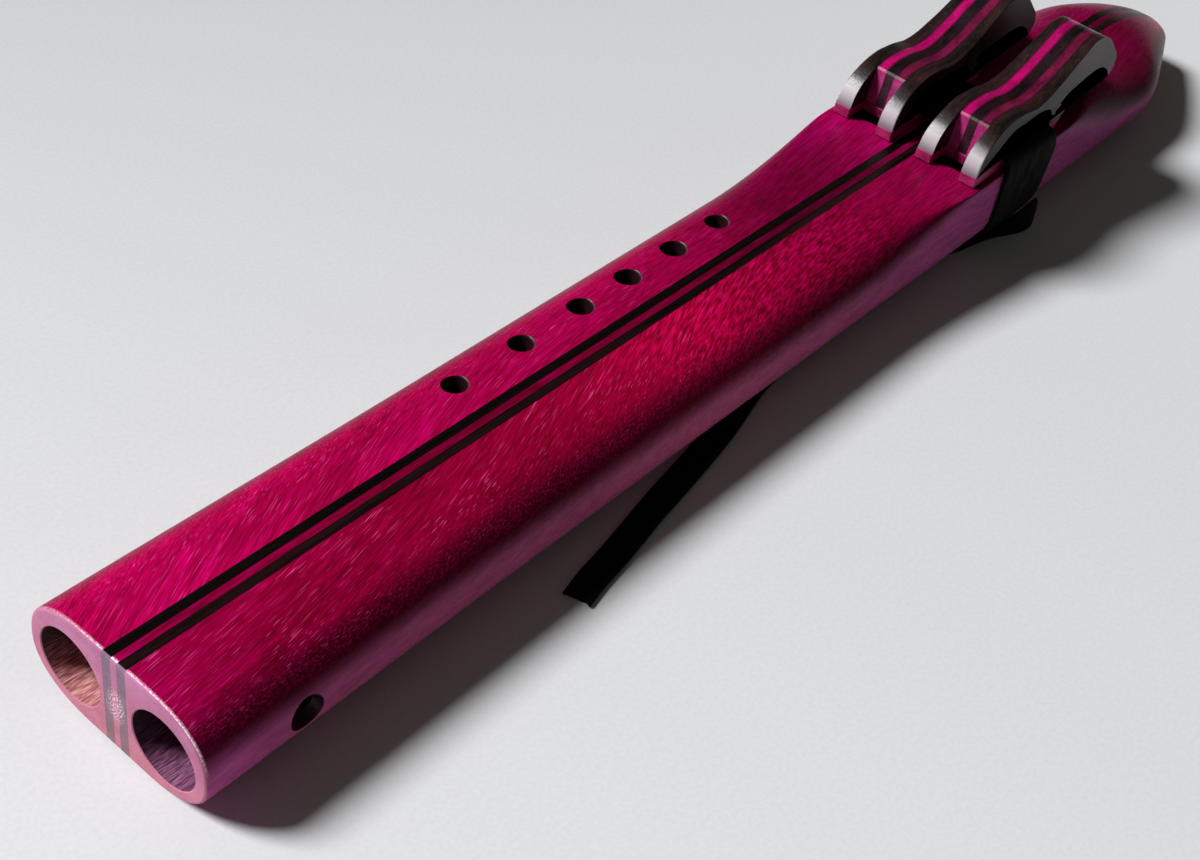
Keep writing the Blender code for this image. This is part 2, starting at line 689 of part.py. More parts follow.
# The tail leaves the band standing on edge at its gathered corner, sinks under the body's
# overhang, and comes out again folded flat. Each point is (distance from the foot, distance from
# the middle, width, height), and the tail stands on the table throughout.
TAIL_ROUTE = (
    (372.0 * MM, -33.7 * MM, 2.2 * MM, 12.0 * MM),
    (367.0 * MM, -33.4 * MM, 2.2 * MM, 11.2 * MM),
    (361.0 * MM, -31.1 * MM, 2.3 * MM, 7.0 * MM),
    (354.0 * MM, -28.0 * MM, 2.6 * MM, 3.8 * MM),
    (347.0 * MM, -26.2 * MM, 2.8 * MM, 2.6 * MM),
    (340.0 * MM, -24.8 * MM, 2.8 * MM, 2.1 * MM),
    (334.0 * MM, -22.8 * MM, 3.6 * MM, 2.0 * MM),
    (326.0 * MM, -21.3 * MM, 4.8 * MM, 1.9 * MM),
    (310.0 * MM, -21.0 * MM, 5.2 * MM, 1.9 * MM),
    (290.0 * MM, -21.0 * MM, 5.2 * MM, 1.9 * MM),
    (270.0 * MM, -21.0 * MM, 5.2 * MM, 1.9 * MM),
    (250.0 * MM, -21.0 * MM, 5.2 * MM, 1.9 * MM),
    (236.0 * MM, -21.3 * MM, 5.6 * MM, 1.9 * MM),
    (225.0 * MM, -22.3 * MM, 6.4 * MM, 1.9 * MM),
    (215.0 * MM, -24.3 * MM, 7.4 * MM, 2.0 * MM),
    (205.0 * MM, -26.6 * MM, 8.2 * MM, 2.0 * MM),
    (193.0 * MM, -28.9 * MM, 8.7 * MM, 2.0 * MM),
    (181.0 * MM, -31.0 * MM, 8.9 * MM, 2.0 * MM),
    (169.0 * MM, -33.0 * MM, 9.0 * MM, 2.0 * MM),
    (158.0 * MM, -34.9 * MM, 8.8 * MM, 2.0 * MM),
    (148.0 * MM, -36.9 * MM, 8.3 * MM, 2.0 * MM),
    (137.0 * MM, -39.0 * MM, 7.5 * MM, 2.0 * MM),
    (127.0 * MM, -40.6 * MM, 6.0 * MM, 2.0 * MM),
    (118.0 * MM, -42.6 * MM, 4.1 * MM, 2.0 * MM),
)
TAIL_CORNER_SHARE = 0.3


def build_strap_tail(parts, flute, material):
    """Gathered tail of the strap, with the corners of its section taken off."""
    floor = -AXIS_HEIGHT
    last = len(TAIL_ROUTE) - 1
    rings = []
    for i, (x, y, width, height) in enumerate(TAIL_ROUTE):
        ahead = TAIL_ROUTE[min(i + 1, last)]
        behind = TAIL_ROUTE[max(i - 1, 0)]
        along = Vector((ahead[0] - behind[0], ahead[1] - behind[1])).normalized()
        side = Vector((-along.y, along.x)) * width / 2
        corner = TAIL_CORNER_SHARE * min(width, height)
        inner = 1 - 2 * corner / width
        outline = (
            (inner, 0.0), (1.0, corner), (1.0, height - corner), (inner, height),
            (-inner, height), (-1.0, height - corner), (-1.0, corner), (-inner, 0.0),
        )
        rings.append([(x + share * side.x, y + share * side.y, floor + up) for share, up in outline])
    shade_smooth(new_object("strap_tail", loft("strap_tail", rings), parts, flute, material))


def build_flute():
    remove_objects()
    parts = new_collection("double_flute")
    cutters = new_collection("cutters")
    woods = {
        "purpleheart": new_material("purpleheart", (0.24, 0.005, 0.055), 0.32),
        "wenge": new_material("wenge", (0.022, 0.012, 0.012), 0.38),
        "cedar": new_material("cedar", (0.30, 0.13, 0.06), 0.6),
    }
    leather = new_material("black_leather", (0.006, 0.006, 0.007), 0.75)
    flute = new_empty("flute_foot", parts, (-BODY_LENGTH / 2, 0, AXIS_HEIGHT))
    build_body(parts, cutters, flute, woods)
    for prefix, side in (("melody", 1), ("drone", -1)):
        build_plug(prefix, side, parts, flute, woods["cedar"])
        build_block(prefix, side, parts, cutters, flute, woods)
    build_strap_band(parts, flute, leather)
    build_strap_tail(parts, flute, leather)
    bpy.context.view_layer.update()


build_flute()
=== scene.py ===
"""Visual model of a double drone flute: carved purpleheart and wenge, two blocks and a leather strap.

Shapes are worked out in millimetres in the flute's own frame and turned to the row's metres when a
mesh is filled: x runs from the foot to the mouth end, y towards the melody chamber, and z up from
the axes of the chambers.
"""

import math

import bmesh
import bpy
import numpy as np
from mathutils import Matrix, Vector


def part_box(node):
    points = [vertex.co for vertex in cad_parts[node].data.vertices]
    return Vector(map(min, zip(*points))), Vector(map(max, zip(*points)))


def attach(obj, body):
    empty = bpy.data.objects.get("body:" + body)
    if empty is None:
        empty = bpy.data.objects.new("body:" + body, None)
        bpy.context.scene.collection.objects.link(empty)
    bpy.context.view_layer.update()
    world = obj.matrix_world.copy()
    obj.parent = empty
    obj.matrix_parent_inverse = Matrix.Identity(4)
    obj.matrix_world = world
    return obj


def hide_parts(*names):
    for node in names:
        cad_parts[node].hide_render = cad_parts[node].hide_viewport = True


bl_info = {
    "name": "Double Drone Flute",
    "version": (1, 0, 0),
    "blender": (4, 5, 0),
    "location": "View3D > Sidebar > Flute",
    "description": "Builds the woods, blocks, strap and table of a double drone flute",
    "category": "Add Mesh",
}

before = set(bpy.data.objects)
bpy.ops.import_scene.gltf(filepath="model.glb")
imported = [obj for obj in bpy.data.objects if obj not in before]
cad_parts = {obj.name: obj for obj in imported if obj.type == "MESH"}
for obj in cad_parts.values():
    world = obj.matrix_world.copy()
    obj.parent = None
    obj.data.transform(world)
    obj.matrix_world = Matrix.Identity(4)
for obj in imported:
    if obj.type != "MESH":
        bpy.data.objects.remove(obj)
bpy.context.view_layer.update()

MM = 0.001
BODY_LOW, BODY_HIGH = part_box("melody_body")
BAND_LOW, BAND_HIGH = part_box("strap_band")

# Body blank, in millimetres, as in the frame.
BODY_LENGTH = (BODY_HIGH[0] - BODY_LOW[0]) / MM
BORE_RADIUS = 11.1
CHAMBER_END = BODY_LENGTH - 60.0
DECK_HEIGHT = 17.1
KEEL_DEPTH = 15.4
FOOT_EDGE_ROUND = 0.9
CENTRE_STRIP_WIDTH = 2.3
ACCENT_STRIP_WIDTH = 3.0
MIDDLE_WALL = 1.65
FOOT_SIDE_WALL = 3.9
WAIST_SIDE_WALL = 3.0
NEST_SIDE_WALL = 3.3
WAIST_X = 120.0

# Glued joints show as a hairline.
GLUE_LINE = 0.03

# Carving of the outside: rounded over the finger holes, square under the blocks, soft at the mouth.
FOOT_TOP_FLAT = 10.0
KEEL_FLAT = 11.0
NEST_EDGE = 1.2
NEST_CARVE_START = 258.0
NEST_CARVE_END = 325.0
NEST_FADE_END = BODY_LENGTH - 57.0
NEST_FADE_START = NEST_FADE_END - 70.0
FOOT_TOP_POWER = 2.45
NEST_TOP_POWER = 3.0
NOSE_TOP_POWER = 2.0
KEEL_POWER = 2.2
NOSE_TAPER_LENGTH = 51.0
NOSE_TAPER_BLEND = 10.0
NOSE_DROP_LENGTH = 47.0
NOSE_HALF_WIDTH = 10.6
NOSE_TOP = 2.4
NOSE_BOTTOM = 9.0
NOSE_DROP_POWER = 1.6
NOSE_ROUND = 4.0
NOSE_LIP_ROUND = 3.0
NOSE_FLAT_SHARE = 0.1
BLOW_HOLE_RADIUS = 2.0
BLOW_HOLE_OFFSET = 4.2
BLOW_CHANNEL_OFFSET = 13.0

# Finger holes: distance from the foot and radius.
FINGER_HOLES = ((127.1, 3.73), (153.8, 3.75), (179.3, 3.94), (200.7, 4.02), (222.4, 4.06), (244.0, 3.71))
FINGER_LINE = 15.7
FINGER_RIM = 0.55
TUNING_HOLE_X = 30.8
TUNING_HOLE_RISE = 0.9
TUNING_HOLE_RADIUS = 5.2
BORE_RIM = 0.25

# Voicing under each block.
FLUE_EXIT_X = 335.0
SOUND_HOLE_LENGTH = 4.5
VOICING_WIDTH = 10.4
FLUE_DEPTH = 1.2
FLUE_LENGTH = 24.0
AIR_HOLE_LENGTH = 8.0
PLUG_LENGTH = 12.0

# Carved blocks, measured from the front foot along the block and up from the deck.
BLOCK_FRONT_X = 325.4
BLOCK_FRONT_HALF_WIDTH = 11.9
BLOCK_REAR_HALF_WIDTH = 9.4
BLOCK_LENGTH = 96.0
BLOCK_SIDE_LEAN = 0.045
BLOCK_BASE_THICKNESS = 3.6
BLOCK_EDGE_ROUND = 0.45
CENTRE_STRIPE_WIDTH = 3.4
PINK_STRIPE_WIDTH = 4.0
RAMP_TOP_X = 11.4
RAMP_FOOT_X = 9.7
RAMP_CHAMFER = 0.7
BASE_NOTCH_X = 9.2
BASE_HEEL_TOP_X = 59.2
BASE_HEEL_TIP_X = 55.6
BASE_EDGE_ROUND = 0.3
WING_HEIGHT = 14.6
RAMP_HEIGHT = 16.7
BROW_HEIGHT = 17.8
SADDLE_HEIGHT = 16.2
CREST_HEIGHT = 28.0
TAIL_TIP_HEIGHT = 10.8
TAIL_HOOK_HEIGHT = 6.0
TAIL_ARCH_HEIGHT = 13.6
TUNNEL_HEIGHT = 12.8

# Leather strap.
STRAP_THICKNESS = 1.2
STRAP_CENTRE_X = 358.3
STRAP_TUNNEL_WIDTH = 30.6
STRAP_FRONT_SPREAD = 2.2
STRAP_REAR_SPREAD = 0.6
STRAP_GATHER = 6.0
SEAT_GAP = 0.3
BLOCK_TRAVEL = 2.0
TUNNEL_CLEARANCE = 0.5

AXIS_HEIGHT = KEEL_DEPTH + SEAT_GAP + STRAP_THICKNESS
LAMINATED_EDGE = CENTRE_STRIP_WIDTH / 2 + ACCENT_STRIP_WIDTH
BORE_OFFSET = LAMINATED_EDGE + MIDDLE_WALL + BORE_RADIUS
FOOT_HALF_WIDTH = BORE_OFFSET + BORE_RADIUS + FOOT_SIDE_WALL
WAIST_HALF_WIDTH = BORE_OFFSET + BORE_RADIUS + WAIST_SIDE_WALL
NEST_HALF_WIDTH = BORE_OFFSET + BORE_RADIUS + NEST_SIDE_WALL
NOSE_AXIS_HEIGHT = (NOSE_TOP - NOSE_BOTTOM) / 2
LAMINATION_FOOT = SEAT_GAP + BLOCK_BASE_THICKNESS + GLUE_LINE
TUNNEL_HALF_LENGTH = STRAP_TUNNEL_WIDTH / 2 + BLOCK_TRAVEL + TUNNEL_CLEARANCE
TUNNEL_MIDDLE_X = STRAP_CENTRE_X - BLOCK_FRONT_X
CORE_EDGE = CENTRE_STRIPE_WIDTH / 2 + PINK_STRIPE_WIDTH
ROW_SHIFT = np.array((-BODY_LENGTH / 2, 0.0, AXIS_HEIGHT))

# Loose tail of the strap: distance from the foot and from the middle, width and height.
TAIL_ROUTE = (
    (372.0, -33.7, 2.2, 12.0),
    (367.0, -33.4, 2.2, 11.2),
    (361.0, -31.1, 2.3, 7.0),
    (354.0, -28.0, 2.6, 3.8),
    (347.0, -26.2, 2.8, 2.6),
    (340.0, -24.8, 2.8, 2.1),
    (334.0, -22.8, 3.6, 2.0),
    (326.0, -21.3, 4.8, 1.9),
    (310.0, -21.0, 5.2, 1.9),
    (290.0, -21.0, 5.2, 1.9),
    (270.0, -21.0, 5.2, 1.9),
    (250.0, -21.0, 5.2, 1.9),
    (236.0, -21.3, 5.6, 1.9),
    (225.0, -22.3, 6.4, 1.9),
    (215.0, -24.3, 7.4, 2.0),
    (205.0, -26.6, 8.2, 2.0),
    (193.0, -28.9, 8.7, 2.0),
    (181.0, -31.0, 8.9, 2.0),
    (169.0, -33.0, 9.0, 2.0),
    (158.0, -34.9, 8.8, 2.0),
    (148.0, -36.9, 8.8, 2.0),
    (137.0, -39.0, 8.8, 2.0),
    (127.0, -40.6, 8.8, 2.0),
    (118.0, -42.6, 8.6, 2.0),
)
TAIL_NOTCH = 2.8
TAIL_NOTCH_REACH = 7.0

# Slope of the fibres across the boards, at distances from the foot.
MELODY_FIBRES = ((0, 0.53), (110, 0.34), (160, 0.12), (230, 0.02), (300, 0.12), (512, 0.05))
DRONE_FIBRES = ((0, 0.14), (60, 0.2), (120, 0.32), (180, 0.42), (215, 0.36), (250, 0.16), (300, 0.08), (512, 0.1))
STRAIGHT_FIBRES = ((0, 0.0), (512, 0.0))

# Resolution of the surfaces.
STATION_STEP = 2.0
FLAT_STEPS = 10
ROUND_STEPS = 44
BORE_SEGMENTS = 96
HOLE_SEGMENTS = 48
OUTLINE_STEPS = 14


def ease(value, start, end):
    """Smooth step from 0 at start to 1 at end."""
    t = np.clip((value - start) / (end - start), 0.0, 1.0)
    return t * t * (3 - 2 * t)


def mix(a, b, t):
    return a + (b - a) * t


def linear(code):
    """sRGB hex to linear RGBA."""
    channels = [int(code[i:i + 2], 16) / 255 for i in (1, 3, 5)]
    return (*[c / 12.92 if c <= 0.04045 else ((c + 0.055) / 1.055) ** 2.4 for c in channels], 1.0)


def to_row(points):
    """Millimetres in the flute's frame to metres in the row's frame."""
    return (np.asarray(points, float) + ROW_SHIFT) * MM


def mesh_from_rings(name, rings, closed=False):
    """Skin through rings of equal length, an array of rings by points by (x, y, z).

    Point j of ring i is joined to its neighbours in both directions. The last ring joins the
    first where the skin is closed, and otherwise a flat face closes each end.
    """
    count, size = rings.shape[:2]
    row = np.arange(count if closed else count - 1)[:, None]
    column = np.arange(size)[None, :]
    row_ahead = (row + 1) % count
    column_ahead = (column + 1) % size
    corners = (
        row * size + column,
        row * size + column_ahead,
        row_ahead * size + column_ahead,
        row_ahead * size + column,
    )
    faces = np.stack(corners, axis=-1).reshape(-1, 4).tolist()
    if not closed:
        faces.append(list(range(size - 1, -1, -1)))
        faces.append(list(range((count - 1) * size, count * size)))
    mesh = bpy.data.meshes.new(name)
    mesh.from_pydata(to_row(rings.reshape(-1, 3)).tolist(), [], faces)
    bm = bmesh.new()
    bm.from_mesh(mesh)
    bmesh.ops.recalc_face_normals(bm, faces=bm.faces)
    bm.to_mesh(mesh)
    bm.free()
    return mesh


def smooth_path(points, steps):
    """Curve through the points: on each span, the cubic whose slope at a point is half the step
    between its neighbours. Returns the points and steps - 1 more in each span."""
    points = np.asarray(points, float)
    before = np.vstack((2 * points[0] - points[1], points[:-1]))
    after = np.vstack((points[1:], 2 * points[-1] - points[-2]))
    slope = (after - before) / 2
    t = np.linspace(0, 1, steps, endpoint=False)[None, :, None]
    start, end = points[:-1, None], points[1:, None]
    leave, arrive = slope[:-1, None], slope[1:, None]
    spans = (
        (2 * t**3 - 3 * t**2 + 1) * start
        + (t**3 - 2 * t**2 + t) * leave
        + (3 * t**2 - 2 * t**3) * end
        + (t**3 - t**2) * arrive
    )
    return np.vstack((spans.reshape(-1, points.shape[1]), points[-1:]))


def turned(name, profile, start, direction, segments, material):
    """Surface of revolution: profile rows of (distance along the axis, radius), turned about the
    axis that leaves start in the given direction, with flat ends."""
    axis = np.asarray(direction, float)
    axis = axis / np.linalg.norm(axis)
    aside = np.cross(axis, (0.0, 0.0, 1.0) if abs(axis[2]) < 0.9 else (1.0, 0.0, 0.0))
    aside = aside / np.linalg.norm(aside)
    other = np.cross(axis, aside)
    profile = np.asarray(profile, float)
    angle = np.linspace(0, 2 * math.pi, segments, endpoint=False)
    spoke = np.cos(angle)[:, None] * aside + np.sin(angle)[:, None] * other
    middle = np.asarray(start, float) + profile[:, :1] * axis
    rings = middle[:, None, :] + profile[:, 1][:, None, None] * spoke[None, :, :]
    mesh = mesh_from_rings(name, rings)
    mesh.materials.append(material)
    return mesh


def box(name, low, high, material):
    """Box between two corners, as two square rings."""
    (x0, y0, z0), (x1, y1, z1) = low, high
    square = ((y0, z0), (y1, z0), (y1, z1), (y0, z1))
    rings = np.array([[(x, y, z) for y, z in square] for x in (x0, x1)], float)
    mesh = mesh_from_rings(name, rings)
    mesh.materials.append(material)
    return mesh


def carve(mesh, cutters):
    """The mesh less each cutter. What a cutter leaves bare takes the cutter's material."""
    collection = bpy.context.scene.collection
    target = bpy.data.objects.new(mesh.name, mesh)
    collection.objects.link(target)
    tools = []
    for cutter in cutters:
        tool = bpy.data.objects.new(cutter.name, cutter)
        collection.objects.link(tool)
        tools.append(tool)
        modifier = target.modifiers.new(cutter.name, "BOOLEAN")
        modifier.operation = "DIFFERENCE"
        modifier.solver = "EXACT"
        modifier.material_mode = "TRANSFER"
        modifier.object = tool
    bpy.context.view_layer.update()
    depsgraph = bpy.context.evaluated_depsgraph_get()
    carved = bpy.data.meshes.new_from_object(target.evaluated_get(depsgraph))
    for item in (target, *tools):
        bpy.data.objects.remove(item, do_unlink=True)
    for old in (mesh, *cutters):
        bpy.data.meshes.remove(old)
    if not carved.polygons:
        raise RuntimeError("nothing is left of " + carved.name)
    return carved


def corner_places(mesh):
    """Vertex places in the flute's frame, in millimetres."""
    places = np.empty(len(mesh.vertices) * 3, np.float32)
    mesh.vertices.foreach_get("co", places)
    return places.reshape(-1, 3) / MM - ROW_SHIFT


def lay_grain(mesh, fibres, offset):
    """Writes the attribute grain: millimetres along, across and through the board's fibres.

    The fibres run along X and bend across the board by the slopes in fibres, so across is y less
    the slope's integral. The offset moves each board to its own place in the tree.
    """
    places = corner_places(mesh)
    x, slope = np.array(fibres, float).T
    table_x = np.arange(-20.0, BODY_LENGTH + 20.0)
    table = np.concatenate(((0.0,), np.cumsum(np.interp(table_x, x, slope))[:-1]))
    grain = places + np.asarray(offset)
    grain[:, 1] -= np.interp(places[:, 0], table_x, table)
    attribute = mesh.attributes.new("grain", "FLOAT_VECTOR", "POINT")
    attribute.data.foreach_set("vector", grain.astype(np.float32).ravel())


def finish_piece(name, mesh, body, nodes, sharp_angle=34.0):
    """Links a piece, shades it smooth but for its sharp edges, and tells the frame what it is."""
    mesh.shade_smooth()
    mesh.set_sharp_from_angle(angle=math.radians(sharp_angle))
    mesh.name = name
    piece = bpy.data.objects.new(name, mesh)
    bpy.context.scene.collection.objects.link(piece)
    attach(piece, body)
    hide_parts(*nodes)
    return piece


# Shader helpers


def link_inputs(tree, node, links):
    """Links inputs, by name or number, each from a socket or from a node's output in use."""
    for name, source in links.items():
        if isinstance(source, bpy.types.Node):
            source = next(socket for socket in source.outputs if socket.enabled)
        tree.links.new(source, node.inputs[name])


def add_node(tree, kind, settings=None, links=None, stops=()):
    """Adds a shader node with its settings and links, by name or number, and its ramp's stops.

    A colour is a hex value or a linear one.
    """
    node = tree.nodes.new(kind)
    for name, value in (settings or {}).items():
        if isinstance(name, int) or name in node.inputs:
            node.inputs[name].default_value = linear(value) if isinstance(value, str) else value
        else:
            setattr(node, name, value)
    link_inputs(tree, node, links or {})
    for number, (position, colour) in enumerate(stops):
        elements = node.color_ramp.elements
        element = elements[number] if number < len(elements) else elements.new(position)
        element.position = position
        element.color = linear(colour) if isinstance(colour, str) else colour
    return node


def new_material(name, roughness, specular=0.5):
    material = bpy.data.materials.new(name)
    material.use_nodes = True
    shader = material.node_tree.nodes["Principled BSDF"]
    shader.inputs["Roughness"].default_value = roughness
    shader.inputs["Specular IOR Level"].default_value = specular
    return material, material.node_tree, shader


def streaks(tree, place, along, across, detail=3.0, roughness=0.55, distortion=0.0):
    """Noise drawn out along the fibres: cells that many of the place's units long and wide."""
    drawn = add_node(
        tree, "ShaderNodeMapping", {"Scale": (1 / along, 1 / across, 1 / across)}, {"Vector": place}
    )
    return add_node(
        tree,
        "ShaderNodeTexNoise",
        {"Scale": 1.0, "Detail": detail, "Roughness": roughness, "Distortion": distortion},
        {"Vector": drawn},
    )


def toned(colour, red, blue):
    """Linear colour with its red and blue scaled: purpleheart shifts between crimson and magenta."""
    return (min(colour[0] * red, 1.0), colour[1] * red, min(colour[2] * blue, 1.0), 1.0)


def on_board(stops):
    """Ramp stops by distance from the foot, in millimetres."""
    return [(x / BODY_LENGTH, colour) for x, colour in stops]


# How the purpleheart's tone changes along the flute, as a share of its colour, at distances from
# the foot: darker before the blocks and towards the nose.
MELODY_SHADE = ((0, "#ffffff"), (60, "#e6e6d8"), (170, "#d4d4cc"), (220, "#cdcdcc"), (262, "#8e8e90"),
                (295, "#9a9aa4"), (330, "#d0c0e6"), (420, "#a8a8c4"), (512, "#8c8c94"))
DRONE_SHADE = ((0, "#eeeeff"), (30, "#d6d6c8"), (130, "#c6c6a0"), (195, "#fafad0"), (238, "#d4d4bc"),
               (285, "#bebebe"), (330, "#c4c4dc"), (420, "#a0a0bc"), (512, "#86868c"))


def purpleheart_material(name, colour, figure, shade, side, glints, wall_colour="#7c2458"):
    """Purpleheart, planed, sanded to a fine grit and rubbed with oil.

    The oil deepens the magenta and leaves a thin satin skin. Fibres a third of a millimetre wide
    give bright and dark strokes, the brightest of them a painted sheen. Painted highlights stand for
    open pores 3 mm long that catch the light as pink dashes, and the board's curl rolls in short
    dabs. The shoulder is painted in shade as it turns from the deck, with the cut pores as grains,
    and the planed side wall is duller and painted a lighter mauve for the reflection of the lit
    table. figure is how strong the curl is, shade its tone along the board, side which way it
    faces, glints how many painted pore highlights show, and wall_colour the side wall's darker tone.
    """
    material, tree, shader = new_material(name, 0.25, 0.02)
    shader.inputs["Sheen Weight"].default_value = 0.2
    shader.inputs["Sheen Roughness"].default_value = 0.4
    shader.inputs["Sheen Tint"].default_value = linear("#c85c74")
    grain = add_node(tree, "ShaderNodeAttribute", {"attribute_name": "grain"}).outputs["Vector"]
    place = add_node(tree, "ShaderNodeTexCoord").outputs["Object"]
    spot = add_node(tree, "ShaderNodeSeparateXYZ", {}, {"Vector": place}).outputs
    normal = add_node(tree, "ShaderNodeNewGeometry").outputs["Normal"]
    face = add_node(tree, "ShaderNodeSeparateXYZ", {}, {"Vector": normal}).outputs
    board = add_node(
        tree,
        "ShaderNodeMath",
        {"operation": "MULTIPLY_ADD", 1: 1 / (BODY_LENGTH * MM), 2: 0.5},
        {0: spot["X"]},
    )

    fibres = streaks(tree, grain, along=7.0, across=0.34, detail=2.5)
    bundles = streaks(tree, grain, along=17.0, across=1.6)
    clouds = streaks(tree, grain, along=60.0, across=12.0, detail=2.0)
    blend = add_node(tree, "ShaderNodeMix", {0: 0.36}, {2: fibres, 3: bundles})
    blend = add_node(tree, "ShaderNodeMix", {0: 0.2}, {2: blend, 3: clouds})

    # Curl: the fibres dip in and out of the surface, in dabs about 3 mm long.
    curl = streaks(tree, grain, along=3.8, across=0.72, detail=0.8, distortion=0.15)
    curl_zone = add_node(
        tree,
        "ShaderNodeValToRGB",
        {},
        {"Fac": board},
        on_board(((150, "#000000"), (196, "#ffffff"), (272, "#ffffff"), (305, "#202020"))),
    )
    curl_share = add_node(
        tree, "ShaderNodeMath", {"operation": "MULTIPLY", 1: figure}, {0: curl_zone.outputs["Color"]}
    )
    blend = add_node(tree, "ShaderNodeMix", {}, {0: curl_share, 2: blend, 3: curl})
    # The brightest stop paints the fibres' chatoyant sheen as bright magenta strokes; the lower stops are the fibres'
    # own tone.
    stops = (
        (0.32, toned(colour, 0.35, 0.3)),
        (0.44, toned(colour, 0.75, 0.68)),
        (0.51, toned(colour, 1.02, 1.05)),
        (0.61, toned(colour, 1.5, 2.1)),
        (0.72, toned(colour, 2.0, 4.0)),
    )
    wood = add_node(tree, "ShaderNodeValToRGB", {}, {"Fac": blend}, stops)
    shades = add_node(tree, "ShaderNodeValToRGB", {}, {"Fac": board}, on_board(shade))
    wood = add_node(
        tree,
        "ShaderNodeMix",
        {"data_type": "RGBA", "blend_type": "MULTIPLY", 0: 1.0},
        {6: wood, 7: shades.outputs["Color"]},
    )

    # Shoulder: painted shade, darker and more purple as its normal turns from the deck, in full on the
    # drone side and at a quarter on the melody side; the cut pores show as grains.
    painted_shoulder_shade = add_node(
        tree,
        "ShaderNodeValToRGB",
        {},
        {"Fac": face["Z"]},
        ((0.3, "#7c7098"), (0.55, "#9c8cae"), (0.8, "#dcd4dc"), (0.94, "#ffffff")),
    )
    wood = add_node(
        tree,
        "ShaderNodeMix",
        {"data_type": "RGBA", "blend_type": "MULTIPLY", 0: 1.0 if side < 0 else 0.25},
        {6: wood, 7: painted_shoulder_shade.outputs["Color"]},
    )
    grains = streaks(tree, grain, along=0.9, across=0.5, detail=1.0)
    grain_colours = add_node(
        tree,
        "ShaderNodeValToRGB",
        {},
        {"Fac": grains},
        ((0.42, "#1e020e"), (0.54, "#5c0228"), (0.66, toned(colour, 0.9, 1.3))),
    )
    rim = add_node(
        tree,
        "ShaderNodeValToRGB",
        {},
        {"Fac": face["Z"]},
        ((0.45, "#000000"), (0.66, "#ffffff"), (0.8, "#ffffff"), (0.93, "#000000")),
    )
    outward = add_node(
        tree,
        "ShaderNodeMapRange",
        {"From Min": 0.1, "From Max": 0.35, "To Max": 0.6},
        {"Value": add_node(tree, "ShaderNodeMath", {"operation": "MULTIPLY", 1: side}, {0: face["Y"]})},
    )
    before_nest = add_node(
        tree, "ShaderNodeMapRange", {"From Min": 0.55, "From Max": 0.35}, {"Value": board}
    )
    speckle = add_node(tree, "ShaderNodeMath", {"operation": "MULTIPLY"}, {0: outward, 1: before_nest})
    speckle = add_node(
        tree, "ShaderNodeMath", {"operation": "MULTIPLY"}, {0: speckle, 1: rim.outputs["Color"]}
    )
    wood = add_node(
        tree, "ShaderNodeMix", {"data_type": "RGBA"}, {0: speckle, 6: wood, 7: grain_colours.outputs["Color"]}
    )

    # Side wall: planed along the grain and duller, and painted a lighter mauve for the reflection of the
    # lit table.
    wall = add_node(
        tree,
        "ShaderNodeMapRange",
        {"interpolation_type": "SMOOTHSTEP", "From Min": 0.58 if side < 0 else 0.42, "From Max": 0.05},
        {"Value": face["Z"]},
    )
    wall_and_reflection_colours = add_node(
        tree,
        "ShaderNodeValToRGB",
        {},
        {"Fac": bundles},
        ((0.3, wall_colour), (0.7, toned(linear(wall_colour), 1.5, 1.5))),
    )
    wall_and_reflection_colours = add_node(
        tree,
        "ShaderNodeMix",
        {"data_type": "RGBA", "blend_type": "MULTIPLY", 0: 0.6},
        {6: wall_and_reflection_colours.outputs["Color"], 7: shades.outputs["Color"]},
    )
    wood = add_node(
        tree, "ShaderNodeMix", {"data_type": "RGBA"}, {0: wall, 6: wood, 7: wall_and_reflection_colours}
    )

    # Painted highlights: pink dashes where open pores catch the light, gathered in drifts nearer the foot.
    pores = streaks(tree, grain, along=6.5, across=0.22, detail=0.0)
    drifts = streaks(tree, grain, along=24.0, across=7.0, detail=1.0)
    lit = add_node(tree, "ShaderNodeMapRange", {"From Min": 0.7, "From Max": 0.8}, {"Value": pores})
    drifted = add_node(
        tree, "ShaderNodeMapRange", {"From Min": 0.42, "From Max": 0.6, "To Min": 0.25}, {"Value": drifts}
    )
    on_deck = add_node(
        tree, "ShaderNodeMapRange", {"From Min": 0.6, "From Max": 0.9, "To Max": glints}, {"Value": face["Z"]}
    )
    near_foot = add_node(
        tree,
        "ShaderNodeValToRGB",
        {},
        {"Fac": board},
        on_board(((140, "#ffffff"), (200, "#c0c0c0"), (270, "#202020"), (300, "#000000"))),
    )
    share = add_node(tree, "ShaderNodeMath", {"operation": "MULTIPLY"}, {0: lit, 1: drifted})
    share = add_node(tree, "ShaderNodeMath", {"operation": "MULTIPLY"}, {0: share, 1: on_deck})
    share = add_node(tree, "ShaderNodeMath", {"operation": "MULTIPLY"}, {0: share, 1: near_foot.outputs["Color"]})
    wood = add_node(tree, "ShaderNodeMix", {"data_type": "RGBA", 7: "#ff5cae"}, {0: share, 6: wood})

